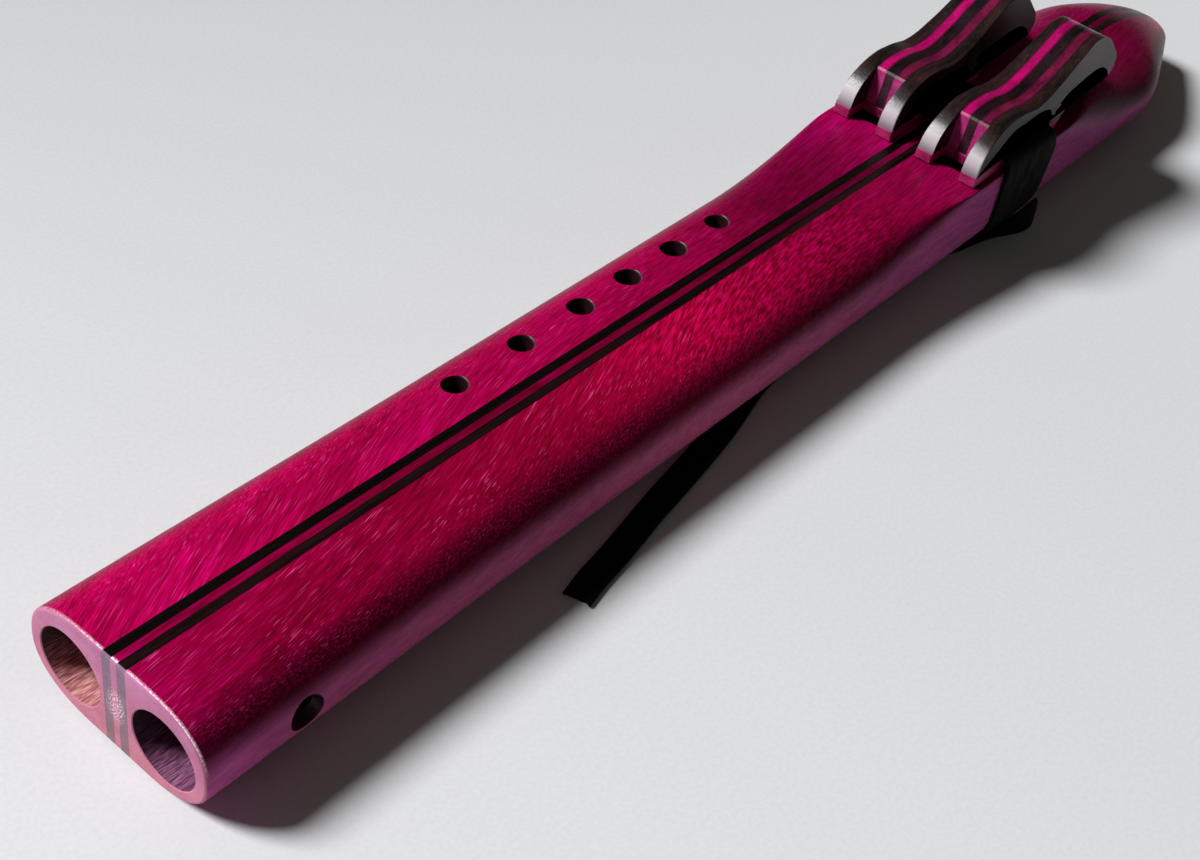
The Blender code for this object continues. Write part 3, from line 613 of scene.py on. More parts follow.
    # Rim of the foot: sanded through the oil, with torn pores, and painted pale pink to white for the
    # key light's highlight along the rounded edge, fainter towards the melody side.
    sanded = add_node(
        tree,
        "ShaderNodeMapRange",
        {"From Min": 1.2 / BODY_LENGTH, "From Max": 0.6 / BODY_LENGTH},
        {"Value": board},
    )
    upper = add_node(tree, "ShaderNodeMapRange", {"From Min": 0.1, "From Max": 0.45}, {"Value": face["Z"]})
    across = add_node(
        tree,
        "ShaderNodeMapRange",
        {"From Min": 0.022, "From Max": 0.0, "To Min": 0.3},
        {"Value": spot["Y"]},
    )
    share = add_node(tree, "ShaderNodeMath", {"operation": "MULTIPLY"}, {0: sanded, 1: upper})
    share = add_node(tree, "ShaderNodeMath", {"operation": "MULTIPLY"}, {0: share, 1: across})
    torn = add_node(
        tree, "ShaderNodeTexNoise", {"Scale": 1 / (0.45 * MM), "Detail": 1.0}, {"Vector": place}
    )
    rim_highlight_colours = add_node(
        tree,
        "ShaderNodeValToRGB",
        {},
        {"Fac": torn},
        ((0.36, "#e080ac"), (0.5, "#fac4de"), (0.62, "#ffffff")),
    )
    wood = add_node(
        tree, "ShaderNodeMix", {"data_type": "RGBA"}, {0: share, 6: wood, 7: rim_highlight_colours.outputs["Color"]}
    )

    # Warmer, paler colour at the tip of the nose, towards the drone side.
    tip = add_node(
        tree,
        "ShaderNodeVectorMath",
        {"operation": "DISTANCE", 1: (0.253, -0.011, (AXIS_HEIGHT - 6.0) * MM)},
        {0: place},
    ).outputs["Value"]
    warm = add_node(
        tree,
        "ShaderNodeMapRange",
        {"interpolation_type": "SMOOTHSTEP", "From Min": 0.026, "From Max": 0.006, "To Max": 0.7},
        {"Value": tip},
    )
    wood = add_node(tree, "ShaderNodeMix", {"data_type": "RGBA", 7: "#a44a4a"}, {0: warm, 6: wood})

    sheen = add_node(
        tree, "ShaderNodeMapRange", {"From Min": 0.3, "From Max": 0.7, "To Min": 0.2, "To Max": 0.34}, {"Value": fibres}
    )
    bump = add_node(tree, "ShaderNodeBump", {"Distance": 0.05 * MM}, {"Height": blend})
    link_inputs(tree, shader, {"Base Color": wood, "Roughness": sheen, "Normal": bump})
    return material


def end_grain_material(name, light, dark, patch):
    """Sawn and sanded end of a board, left without oil: chalky, with pores as pinpricks, and painted
    pale for the key light's broad sheen on the end face.

    patch is how much of the worn, glittering spot between the two bores it carries.
    """
    material, tree, shader = new_material(name, 0.75, 0.3)
    place = add_node(tree, "ShaderNodeTexCoord").outputs["Object"]
    pores = add_node(
        tree, "ShaderNodeTexNoise", {"Scale": 1 / (0.6 * MM), "Detail": 3.0, "Roughness": 0.7}, {"Vector": place}
    )
    rings = add_node(
        tree, "ShaderNodeTexNoise", {"Scale": 1 / (7.0 * MM), "Detail": 2.0}, {"Vector": place}
    )
    blend = add_node(tree, "ShaderNodeMix", {0: 0.55}, {2: pores, 3: rings})
    wood = add_node(tree, "ShaderNodeValToRGB", {}, {"Fac": blend}, ((0.36, dark), (0.62, light)))
    height = add_node(tree, "ShaderNodeSeparateXYZ", {}, {"Vector": place}).outputs["Z"]
    rise = add_node(
        tree, "ShaderNodeMapRange", {"From Min": 0.0, "From Max": 2 * AXIS_HEIGHT * MM}, {"Value": height}
    )
    tint = add_node(tree, "ShaderNodeValToRGB", {}, {"Fac": rise}, ((0.0, "#ffeee4"), (1.0, "#eee6ff")))
    wood = add_node(
        tree,
        "ShaderNodeMix",
        {"data_type": "RGBA", "blend_type": "MULTIPLY", 0: 1.0},
        {6: wood, 7: tint.outputs["Color"]},
    )

    # Worn spot, 7 mm wide and 13 mm high, where the grain has torn into bright crystals.
    reach = (0.0, 1 / (3.6 * MM), 1 / (6.6 * MM))
    centre = (0.0, 0.0, (AXIS_HEIGHT + 1.0) * MM)
    from_centre = add_node(
        tree,
        "ShaderNodeVectorMath",
        {"operation": "MULTIPLY_ADD", 1: reach, 2: tuple(-c * r for c, r in zip(centre, reach))},
        {0: place},
    )
    distance = add_node(tree, "ShaderNodeVectorMath", {"operation": "LENGTH"}, {0: from_centre}).outputs["Value"]
    worn = add_node(
        tree,
        "ShaderNodeMapRange",
        {"interpolation_type": "SMOOTHSTEP", "From Min": 1.1, "From Max": 0.5, "To Max": patch},
        {"Value": distance},
    )
    crystals = add_node(
        tree, "ShaderNodeTexNoise", {"Scale": 1 / (0.5 * MM), "Detail": 1.0}, {"Vector": place}
    )
    bright = add_node(tree, "ShaderNodeMapRange", {"From Min": 0.52, "From Max": 0.62}, {"Value": crystals})
    share = add_node(tree, "ShaderNodeMath", {"operation": "MULTIPLY"}, {0: worn, 1: bright})
    wood = add_node(tree, "ShaderNodeMix", {"data_type": "RGBA", 7: "#f4dfe9"}, {0: share, 6: wood})
    bump = add_node(tree, "ShaderNodeBump", {"Distance": 0.08 * MM}, {"Height": pores})
    link_inputs(tree, shader, {"Base Color": wood, "Normal": bump})
    return material


def bored_material(name, dark, middle, light, roughness):
    """Wall of a drilled hole: torn fibres along the bore and no oil, with painted light and shade: paler
    where it faces up, darker where it faces down.
    """
    material, tree, shader = new_material(name, roughness, 0.4)
    place = add_node(tree, "ShaderNodeTexCoord").outputs["Object"]
    normal = add_node(tree, "ShaderNodeNewGeometry").outputs["Normal"]
    face = add_node(tree, "ShaderNodeSeparateXYZ", {}, {"Vector": normal}).outputs
    torn = streaks(tree, place, 3.5 * MM, 0.4 * MM, detail=2.0)
    # Painted light and shade: the wall that faces up is paler.
    painted_light_below = add_node(
        tree, "ShaderNodeMapRange", {"From Min": 0.0, "From Max": 0.9, "To Min": 0.12, "To Max": 0.6},
        {"Value": face["Z"]},
    )
    blend = add_node(tree, "ShaderNodeMix", {0: 0.5}, {2: torn, 3: painted_light_below})
    wood = add_node(
        tree, "ShaderNodeValToRGB", {}, {"Fac": blend}, ((0.36, dark), (0.5, middle), (0.64, light))
    )
    bump = add_node(tree, "ShaderNodeBump", {"Distance": 0.12 * MM}, {"Height": torn})
    link_inputs(tree, shader, {"Base Color": wood, "Normal": bump})
    return material


def wenge_material(name, dark, light, roughness, specular=0.4, front=None):
    """Wenge, carved, sanded and oiled: near black, with brown lines of softer tissue under a
    millimetre apart, long open pores, and a satin sheen at a low angle.

    front is the ramp of colours up a block's front, whose end grain is painted pale silver for the
    key light's highlight on the curved wings, and fades as it turns into the top.
    """
    material, tree, shader = new_material(name, roughness, specular)
    grain = add_node(tree, "ShaderNodeAttribute", {"attribute_name": "grain"}).outputs["Vector"]
    lines = streaks(tree, grain, along=40.0, across=0.6, detail=4.0, roughness=0.6)
    bands = streaks(tree, grain, along=45.0, across=4.0, detail=2.0)
    blend = add_node(tree, "ShaderNodeMix", {0: 0.5}, {2: lines, 3: bands})
    wood = add_node(tree, "ShaderNodeValToRGB", {}, {"Fac": blend}, ((0.4, dark), (0.64, light)))
    pores = streaks(tree, grain, along=5.0, across=0.25, detail=1.0)
    open_pores = add_node(tree, "ShaderNodeMapRange", {"From Min": 0.6, "From Max": 0.7}, {"Value": pores})
    wood = add_node(tree, "ShaderNodeMix", {"data_type": "RGBA", 7: "#030202"}, {0: open_pores, 6: wood})
    sheen = add_node(
        tree,
        "ShaderNodeMapRange",
        {"From Min": 0.3, "From Max": 0.7, "To Min": roughness - 0.06, "To Max": roughness + 0.08},
        {"Value": lines},
    )
    # Painted highlight: the wing fronts are painted pale silver for the key light they reflect, fading towards the top.
    if front:
        place = add_node(tree, "ShaderNodeTexCoord").outputs["Object"]
        spot = add_node(tree, "ShaderNodeSeparateXYZ", {}, {"Vector": place}).outputs
        normal = add_node(tree, "ShaderNodeNewGeometry").outputs["Normal"]
        face = add_node(tree, "ShaderNodeSeparateXYZ", {}, {"Vector": normal}).outputs
        foot = (BLOCK_FRONT_X - BODY_LENGTH / 2) * MM
        ahead = add_node(
            tree,
            "ShaderNodeMapRange",
            {"interpolation_type": "SMOOTHSTEP", "From Min": foot + 7.0 * MM, "From Max": foot + 1.0 * MM},
            {"Value": spot["X"]},
        )
        forward = add_node(
            tree, "ShaderNodeMapRange", {"From Min": -0.05, "From Max": -0.35}, {"Value": face["X"]}
        )
        share = add_node(tree, "ShaderNodeMath", {"operation": "MULTIPLY"}, {0: ahead, 1: forward})
        low, high = ((AXIS_HEIGHT + DECK_HEIGHT + z) * MM for z in (LAMINATION_FOOT, WING_HEIGHT))
        rise = add_node(
            tree, "ShaderNodeMapRange", {"From Min": low, "From Max": high}, {"Value": spot["Z"]}
        )
        front_highlight_colours = add_node(tree, "ShaderNodeValToRGB", {}, {"Fac": rise}, front)
        wood = add_node(
            tree, "ShaderNodeMix", {"data_type": "RGBA"}, {0: share, 6: wood, 7: front_highlight_colours.outputs["Color"]}
        )
        sheen = add_node(tree, "ShaderNodeMix", {3: 0.34}, {0: forward, 2: sheen})
    bump = add_node(tree, "ShaderNodeBump", {"Distance": 0.09 * MM}, {"Height": lines})
    link_inputs(tree, shader, {"Base Color": wood, "Roughness": sheen, "Normal": bump})
    return material


def stripe_material(name, dark, light, specular=0.4, edge=None):
    """Purpleheart stripe of a block: cut on the quarter, so its fibres are fine and even.

    edge is the colour that darkens both sides of the stripe along its glue lines, leaving a narrower bright middle.
    """
    material, tree, shader = new_material(name, 0.34, specular)
    grain = add_node(tree, "ShaderNodeAttribute", {"attribute_name": "grain"}).outputs["Vector"]
    fibres = streaks(tree, grain, along=8.0, across=0.4, detail=3.0)
    clouds = streaks(tree, grain, along=14.0, across=4.0, detail=2.0)
    blend = add_node(tree, "ShaderNodeMix", {0: 0.5}, {2: fibres, 3: clouds})
    wood = add_node(tree, "ShaderNodeValToRGB", {}, {"Fac": blend}, ((0.38, dark), (0.6, light)))
    if edge:
        across = add_node(tree, "ShaderNodeSeparateXYZ", {}, {"Vector": grain}).outputs["Y"]
        off_middle = add_node(tree, "ShaderNodeMath", {"operation": "ABSOLUTE"}, {0: across})
        darkened_sides = add_node(
            tree,
            "ShaderNodeMapRange",
            {"interpolation_type": "SMOOTHSTEP", "From Min": 0.9, "From Max": 2.0, "To Max": 0.92},
            {"Value": off_middle},
        )
        wood = add_node(tree, "ShaderNodeMix", {"data_type": "RGBA", 7: edge}, {0: darkened_sides, 6: wood})
    bump = add_node(tree, "ShaderNodeBump", {"Distance": 0.04 * MM}, {"Height": fibres})
    link_inputs(tree, shader, {"Base Color": wood, "Normal": bump})
    return material


def cedar_material():
    """Cedar plug, sawn and left raw: straight, soft grain about a millimetre wide."""
    material, tree, shader = new_material("sawn_cedar", 0.75, 0.3)
    place = add_node(tree, "ShaderNodeTexCoord").outputs["Object"]
    growth = streaks(tree, place, 30 * MM, 1.1 * MM, detail=4.0)
    wood = add_node(tree, "ShaderNodeValToRGB", {}, {"Fac": growth}, ((0.35, "#5e351d"), (0.65, "#a06a42")))
    bump = add_node(tree, "ShaderNodeBump", {"Distance": 0.1 * MM}, {"Height": growth})
    link_inputs(tree, shader, {"Base Color": wood, "Normal": bump})
    return material


def leather_material():
    """Thin black garment leather, drum dyed and buffed: matt, with a pebble of 0.7 mm over a softer
    unevenness about 9 mm across."""
    material, tree, shader = new_material("black_garment_leather", 0.66, 0.06)
    place = add_node(tree, "ShaderNodeTexCoord").outputs["Object"]
    pebble = add_node(tree, "ShaderNodeTexVoronoi", {"Scale": 1 / (0.7 * MM)}, {"Vector": place})
    worn = add_node(tree, "ShaderNodeTexNoise", {"Scale": 1 / (9 * MM), "Detail": 4.0}, {"Vector": place})
    dye = add_node(tree, "ShaderNodeValToRGB", {}, {"Fac": worn}, ((0.35, "#020203"), (0.65, "#050507")))
    height = add_node(tree, "ShaderNodeMix", {0: 0.35}, {2: pebble.outputs["Distance"], 3: worn})
    bump = add_node(tree, "ShaderNodeBump", {"Distance": 0.12 * MM}, {"Height": height})
    link_inputs(tree, shader, {"Base Color": dye, "Normal": bump})
    return material


# Body


def body_profile(x):
    """Sizes of the body's section at distances x from the foot.

    Half width, height of the shoulder line, then height, flat and power of the top, and depth and
    flat of the keel. The plan has a waist, a nest and a straight nose, whose corner is a parabola.
    The top and the keel bend towards the nose by a power of the distance, and the ends are round.
    """
    width = mix(FOOT_HALF_WIDTH, WAIST_HALF_WIDTH, ease(x, 0.0, WAIST_X))
    width = mix(width, NEST_HALF_WIDTH, ease(x, NEST_CARVE_START, NEST_CARVE_END))
    past = x - (BODY_LENGTH - NOSE_TAPER_LENGTH)
    corner = (np.clip(past, -NOSE_TAPER_BLEND, NOSE_TAPER_BLEND) + NOSE_TAPER_BLEND) ** 2 / (4 * NOSE_TAPER_BLEND)
    corner = corner + np.maximum(past - NOSE_TAPER_BLEND, 0.0)
    width = width - (NEST_HALF_WIDTH - NOSE_HALF_WIDTH) / NOSE_TAPER_LENGTH * corner
    foot = FOOT_EDGE_ROUND - np.sqrt(FOOT_EDGE_ROUND**2 - np.clip(FOOT_EDGE_ROUND - x, 0, FOOT_EDGE_ROUND) ** 2)
    turn = np.clip((x - (BODY_LENGTH - NOSE_ROUND)) / NOSE_ROUND, 0.0, 1.0)
    tip = 1 - np.sqrt(1 - turn * turn)
    half_width = width - foot - NOSE_ROUND * tip
    inset = foot + NOSE_LIP_ROUND * tip
    drop = np.maximum((x - BODY_LENGTH) / NOSE_DROP_LENGTH + 1, 0.0) ** NOSE_DROP_POWER
    shoulder = NOSE_AXIS_HEIGHT * drop
    top = mix(DECK_HEIGHT, NOSE_TOP, drop) - inset - shoulder
    keel = mix(KEEL_DEPTH, NOSE_BOTTOM, drop) - inset + shoulder
    carve_share = ease(x, NEST_CARVE_START, NEST_CARVE_END)
    fade = ease(x, NEST_FADE_START, NEST_FADE_END)
    top_flat = mix(mix(FOOT_TOP_FLAT, half_width - NEST_EDGE, carve_share), NOSE_FLAT_SHARE * half_width, fade)
    power = mix(mix(FOOT_TOP_POWER, NEST_TOP_POWER, carve_share), NOSE_TOP_POWER, fade)
    keel_flat = mix(KEEL_FLAT, NOSE_FLAT_SHARE * half_width, fade)
    return half_width, shoulder, top, top_flat, power, keel, keel_flat


def section_height(y, half_width, flat, height, power):
    """Height of a superellipse quarter at y: level as far as flat, then down to the side."""
    share = np.clip((y - flat) / (half_width - flat), 0.0, 1.0)
    return height * (1 - share**power) ** (1 / power)


def section_quarter(inner, half_width, flat, height, power):
    """(y, z) from a board's inner face to the side: even steps across the flat, then even angles
    round the superellipse, whose y and z are the cosine and the sine to the power 2 / power."""
    start = np.maximum(flat, inner + 1.0)
    across = inner + (start - inner) * np.linspace(0, 1, FLAT_STEPS, endpoint=False)
    level = section_height(across, half_width, flat, height, power)
    first = np.arccos(np.clip((start - flat) / (half_width - flat), 0, 1) ** (power / 2))
    angle = first * np.linspace(1, 0, ROUND_STEPS)
    cosine = np.maximum(np.cos(angle), 0.0)
    y = np.concatenate((across, flat + (half_width - flat) * cosine ** (2 / power)), axis=1)
    z = np.concatenate((level, height * np.sin(angle) ** (2 / power)), axis=1)
    return y, z


def body_stations():
    """Distances from the foot: close round both ends and along the nose, even between them."""
    quarter = np.radians(np.linspace(0, 90, 9))
    foot = FOOT_EDGE_ROUND * (1 - np.cos(quarter))
    nose_start = BODY_LENGTH - NOSE_TAPER_LENGTH - NOSE_TAPER_BLEND
    tip_start = BODY_LENGTH - NOSE_ROUND
    straight = np.arange(FOOT_EDGE_ROUND + STATION_STEP, nose_start, STATION_STEP)
    nose = np.linspace(nose_start, tip_start, 58)
    tip = tip_start + NOSE_ROUND * np.sin(np.radians(np.linspace(0, 90, 14)))[1:]
    return np.concatenate((foot, straight, nose, tip))[:, None]


def stave_mesh(name, side):
    """Outer board of one side, from the laminations to the side wall."""
    x = body_stations()
    half_width, shoulder, top, top_flat, power, keel, keel_flat = body_profile(x)
    inner = LAMINATED_EDGE + GLUE_LINE / 2
    top_y, top_z = section_quarter(inner, half_width, top_flat, top, power)
    low_y, low_z = section_quarter(inner, half_width, keel_flat, keel, KEEL_POWER)
    y = np.concatenate((top_y, low_y[:, -2::-1]), axis=1)
    z = np.concatenate((top_z, -low_z[:, -2::-1]), axis=1) + shoulder
    return mesh_from_rings(name, np.stack((np.broadcast_to(x, y.shape), side * y, z), axis=-1))


def strip_mesh(name, left, right):
    """Board between two distances from the middle, with the body's top and keel outlines."""
    x = body_stations()
    half_width, shoulder, top, top_flat, power, keel, keel_flat = body_profile(x)
    across = np.linspace(left, right, 7)[None, :]
    upper = section_height(abs(across), half_width, top_flat, top, power)
    lower = -section_height(abs(across), half_width, keel_flat, keel, KEEL_POWER)
    y = np.broadcast_to(np.concatenate((across, across[:, ::-1]), axis=1), (len(x), 14))
    z = np.concatenate((upper, lower[:, ::-1]), axis=1) + shoulder
    return mesh_from_rings(name, np.stack((np.broadcast_to(x, y.shape), y, z), axis=-1))


def deck_at(x, y):
    """Height of the body's top at one place."""
    half_width, shoulder, top, top_flat, power, _, _ = body_profile(np.array([[float(x)]]))
    return float((section_height(np.array([[float(y)]]), half_width, top_flat, top, power) + shoulder)[0, 0])


def blow_channel(side, material):
    direction = (BODY_LENGTH - CHAMBER_END, side * (BLOW_HOLE_OFFSET - BLOW_CHANNEL_OFFSET), NOSE_AXIS_HEIGHT)
    start = (CHAMBER_END, side * BLOW_CHANNEL_OFFSET, 0.0)
    length = math.dist((0, 0, 0), direction)
    profile = (
        (-2.0, BLOW_HOLE_RADIUS),
        (length - 1.0, BLOW_HOLE_RADIUS),
        (length, BLOW_HOLE_RADIUS + 0.5),
        (length + 3.0, BLOW_HOLE_RADIUS + 0.5),
    )
    return turned(f"blow_channel_{side}", profile, start, direction, HOLE_SEGMENTS, material)


def voicing(side, bored, material):
    """Chamber, sound hole, flue and air hole of one side."""
    y = side * BORE_OFFSET
    half = VOICING_WIDTH / 2
    above = DECK_HEIGHT + 2.0
    wide = BORE_RADIUS + BORE_RIM
    chamber = ((-3.0, wide), (0.0, wide), (BORE_RIM, BORE_RADIUS), (CHAMBER_END, BORE_RADIUS))
    flue_end = FLUE_EXIT_X + FLUE_LENGTH
    sound_low = (FLUE_EXIT_X - SOUND_HOLE_LENGTH, y - half, BORE_RADIUS / 2)
    flue_low = (FLUE_EXIT_X - SOUND_HOLE_LENGTH / 2, y - half, DECK_HEIGHT - FLUE_DEPTH)
    air_low = (flue_end - AIR_HOLE_LENGTH, y - half + 1.0, BORE_RADIUS / 2)
    return [
        turned("chamber", chamber, (0.0, y, 0.0), (1.0, 0.0, 0.0), BORE_SEGMENTS, bored),
        box("sound_hole", sound_low, (FLUE_EXIT_X, y + half, above), material),
        box("flue", flue_low, (flue_end, y + half, above), material),
        box("air_hole", air_low, (flue_end - 1.0, y + half - 1.0, DECK_HEIGHT), material),
    ]


def finger_hole(x, radius, material):
    """Hole whose rim is a quarter round: the radius grows as the height nears the deck."""
    deck = deck_at(x, FINGER_LINE)
    angle = np.radians(np.linspace(0, 90, 6))
    rim = np.stack((deck - 2 * FINGER_RIM * (1 - np.sin(angle)), radius + FINGER_RIM * (1 - np.cos(angle))), axis=1)
    profile = np.vstack(((BORE_RADIUS / 2, radius), rim, (deck + 3.0, radius + 2 * FINGER_RIM)))
    return turned(f"finger_hole_{x:.0f}", profile, (x, FINGER_LINE, 0.0), (0.0, 0.0, 1.0), HOLE_SEGMENTS, material)


def tuning_hole(material):
    start = (TUNING_HOLE_X, -BORE_OFFSET, TUNING_HOLE_RISE)
    profile = ((0.0, TUNING_HOLE_RADIUS), (FOOT_HALF_WIDTH, TUNING_HOLE_RADIUS))
    return turned("tuning_hole", profile, start, (0.0, -1.0, 0.0), HOLE_SEGMENTS, material)


def finish_front(mesh, before, turn, material):
    """Gives that material to the faces nearer the foot than before, in millimetres, whose normal
    has an X below turn."""
    mesh.materials.append(material)
    centres = np.empty(len(mesh.polygons) * 3, np.float32)
    normals = np.empty_like(centres)
    numbers = np.empty(len(mesh.polygons), np.int32)
    mesh.polygons.foreach_get("center", centres)
    mesh.polygons.foreach_get("normal", normals)
    mesh.polygons.foreach_get("material_index", numbers)
    ahead = centres[::3] < (before - BODY_LENGTH / 2) * MM
    numbers[ahead & (normals[::3] < turn)] = len(mesh.materials) - 1
    mesh.polygons.foreach_set("material_index", numbers)


# Blocks


def on_overhang(share):
    """Distance along the block, as a share of its tail from the base's heel to the tip."""
    return mix(BASE_HEEL_TOP_X, BLOCK_LENGTH, share)


def on_tunnel(share):
    """Distance along the block, from the front of the strap's tunnel (-1) to its rear (1)."""
    return TUNNEL_MIDDLE_X + share * TUNNEL_HALF_LENGTH


# The carved outline of a block from the side, front to rear over the top. Each point is
# (distance from the front foot, height above the deck, kind), and S is smooth, C a corner.
WING_OUTLINE = (
    (0.3, LAMINATION_FOOT, "C"),
    (2.2, mix(LAMINATION_FOOT, WING_HEIGHT, 0.54), "S"),
    (7.4, WING_HEIGHT, "S"),
)
RAMP_OUTLINE = (
    (RAMP_FOOT_X, LAMINATION_FOOT, "C"),
    (RAMP_TOP_X, RAMP_HEIGHT - RAMP_CHAMFER, "C"),
    (RAMP_TOP_X + RAMP_CHAMFER, RAMP_HEIGHT, "C"),
)
BACK_OUTLINE = (
    (16.0, BROW_HEIGHT, "S"),
    (25.0, BROW_HEIGHT, "S"),
    (38.0, SADDLE_HEIGHT, "S"),
    (51.0, mix(SADDLE_HEIGHT, CREST_HEIGHT, 0.29), "S"),
    (on_overhang(0.08), mix(SADDLE_HEIGHT, CREST_HEIGHT, 0.69), "S"),
    (on_overhang(0.39), CREST_HEIGHT, "S"),
    (on_overhang(0.63), mix(TAIL_TIP_HEIGHT, CREST_HEIGHT, 0.85), "S"),
    (on_overhang(0.84), mix(TAIL_TIP_HEIGHT, CREST_HEIGHT, 0.5), "S"),
    (BLOCK_LENGTH, TAIL_TIP_HEIGHT, "S"),
    (on_overhang(0.91), TAIL_HOOK_HEIGHT, "C"),
    (on_overhang(0.81), mix(TAIL_HOOK_HEIGHT, TAIL_ARCH_HEIGHT, 0.55), "S"),
    (on_overhang(0.56), TAIL_ARCH_HEIGHT, "S"),
    (on_overhang(0.31), mix(LAMINATION_FOOT, TAIL_ARCH_HEIGHT, 0.83), "S"),
)
TUNNEL_OUTLINE = (
    (BASE_HEEL_TOP_X + SEAT_GAP, LAMINATION_FOOT, "C"),
    (on_tunnel(1.0), LAMINATION_FOOT, "C"),
    (on_tunnel(0.87), mix(LAMINATION_FOOT, TUNNEL_HEIGHT, 0.63), "S"),
    (on_tunnel(0.54), mix(LAMINATION_FOOT, TUNNEL_HEIGHT, 0.93), "S"),
    (on_tunnel(-0.16), TUNNEL_HEIGHT, "S"),
    (on_tunnel(-0.75), mix(LAMINATION_FOOT, TUNNEL_HEIGHT, 0.95), "S"),
    (on_tunnel(-0.95), mix(LAMINATION_FOOT, TUNNEL_HEIGHT, 0.65), "S"),
    (on_tunnel(-1.0), LAMINATION_FOOT, "C"),
)
BASE_OUTLINE = (
    (0.0, SEAT_GAP, "C"),
    (0.2, SEAT_GAP + BLOCK_BASE_THICKNESS, "C"),
    (BASE_HEEL_TOP_X, SEAT_GAP + BLOCK_BASE_THICKNESS, "C"),
    (BASE_HEEL_TIP_X, SEAT_GAP, "C"),
)


def carved_outline(points, steps=OUTLINE_STEPS):
    """Closed outline through (x, z, kind) points, as one cubic Bezier curve from each to the next.

    A smooth point's handles lie on the line that balances the directions to its neighbours, at
    about 0.39 of the distance to them, and a corner's point a third of the way to its neighbours.
    """
    place = np.array([point[:2] for point in points], float)
    smooth = np.array([point[2] == "S" for point in points])[:, None]
    ahead = np.roll(place, -1, axis=0) - place
    behind = place - np.roll(place, 1, axis=0)
    ahead_length = np.linalg.norm(ahead, axis=1, keepdims=True)
    behind_length = np.linalg.norm(behind, axis=1, keepdims=True)
    along = ahead / ahead_length + behind / behind_length
    reach = 2.5614 * np.linalg.norm(along, axis=1, keepdims=True)
    forward = np.minimum(ahead_length, 5 * behind_length)
    backward = np.minimum(behind_length, 5 * ahead_length)
    leave = np.where(smooth, place + along * forward / reach, place + ahead / 3)
    arrive = np.where(smooth, place - along * backward / reach, place - behind / 3)
    t = np.linspace(0, 1, steps, endpoint=False)[None, :, None]
    end = np.roll(place, -1, axis=0)[:, None]
    arrive = np.roll(arrive, -1, axis=0)[:, None]
    curve = (
        (1 - t) ** 3 * place[:, None]
        + 3 * (1 - t) ** 2 * t * leave[:, None]
        + 3 * (1 - t) * t**2 * arrive
        + t**3 * end
    )
    return curve.reshape(-1, 2)


def block_half_width(x, z):
    """Half width of a block: it narrows towards the rear and leans in a little with height."""
    return mix(BLOCK_FRONT_HALF_WIDTH, BLOCK_REAR_HALF_WIDTH, x / BLOCK_LENGTH) - BLOCK_SIDE_LEAN * z


def inward(outline):
    """Unit normals that point into a closed outline."""
    along = np.roll(outline, -1, axis=0) - np.roll(outline, 1, axis=0)
    along = along / np.linalg.norm(along, axis=1, keepdims=True)
    x, z = outline.T
    area = np.sum(x * np.roll(z, -1) - np.roll(x, -1) * z)
    return np.stack((-along[:, 1], along[:, 0]), axis=1) * np.sign(area)


def extruded(name, outline, levels, seat):
    """Solid whose rings are the outline at each level of (y, inset): y is one number or one for
    each point, and the inset draws the ring in along its normals, which rounds the edge."""
    into = inward(outline)
    rings = []
    for y, inset in levels:
        drawn = outline + inset * into
        ring = np.stack((drawn[:, 0], np.broadcast_to(y, len(outline)), drawn[:, 1]), axis=1)
        rings.append(ring + np.asarray(seat))
    return mesh_from_rings(name, np.array(rings))


def cheek_mesh(name, seat, side):
    """Dark side lamination of a block, with its outer edge rounded over."""
    outline = carved_outline(WING_OUTLINE + BACK_OUTLINE + TUNNEL_OUTLINE)
    outer = block_half_width(outline[:, 0], outline[:, 1])
    levels = [(side * (CORE_EDGE + GLUE_LINE / 2), 0.0)]
    for angle in np.radians(np.linspace(0, 90, 6)):
        y = outer - BLOCK_EDGE_ROUND * (1 - math.sin(angle))
        levels.append((side * y, BLOCK_EDGE_ROUND * (1 - math.cos(angle))))
    return extruded(name, outline, levels, seat)


def stripe_mesh(name, seat, left, right):
    outline = carved_outline(RAMP_OUTLINE + BACK_OUTLINE + TUNNEL_OUTLINE)
    return extruded(name, outline, ((left, 0.0), (right, 0.0)), seat)


def base_mesh(name, seat, material):
    """Base layer of a block, with its window at the front, its edges eased by a bevel."""
    outline = carved_outline(BASE_OUTLINE, 6)
    outer = block_half_width(outline[:, 0], outline[:, 1])
    mesh = extruded(name, outline, ((-outer, 0.0), (outer, 0.0)), seat)
    mesh.materials.append(material)
    low = np.asarray(seat) + (-5.0, -CORE_EDGE, -1.0)
    high = np.asarray(seat) + (BASE_NOTCH_X, CORE_EDGE, 2 * BLOCK_BASE_THICKNESS)
    return carve(mesh, [box("window", low, high, material)])


# Strap


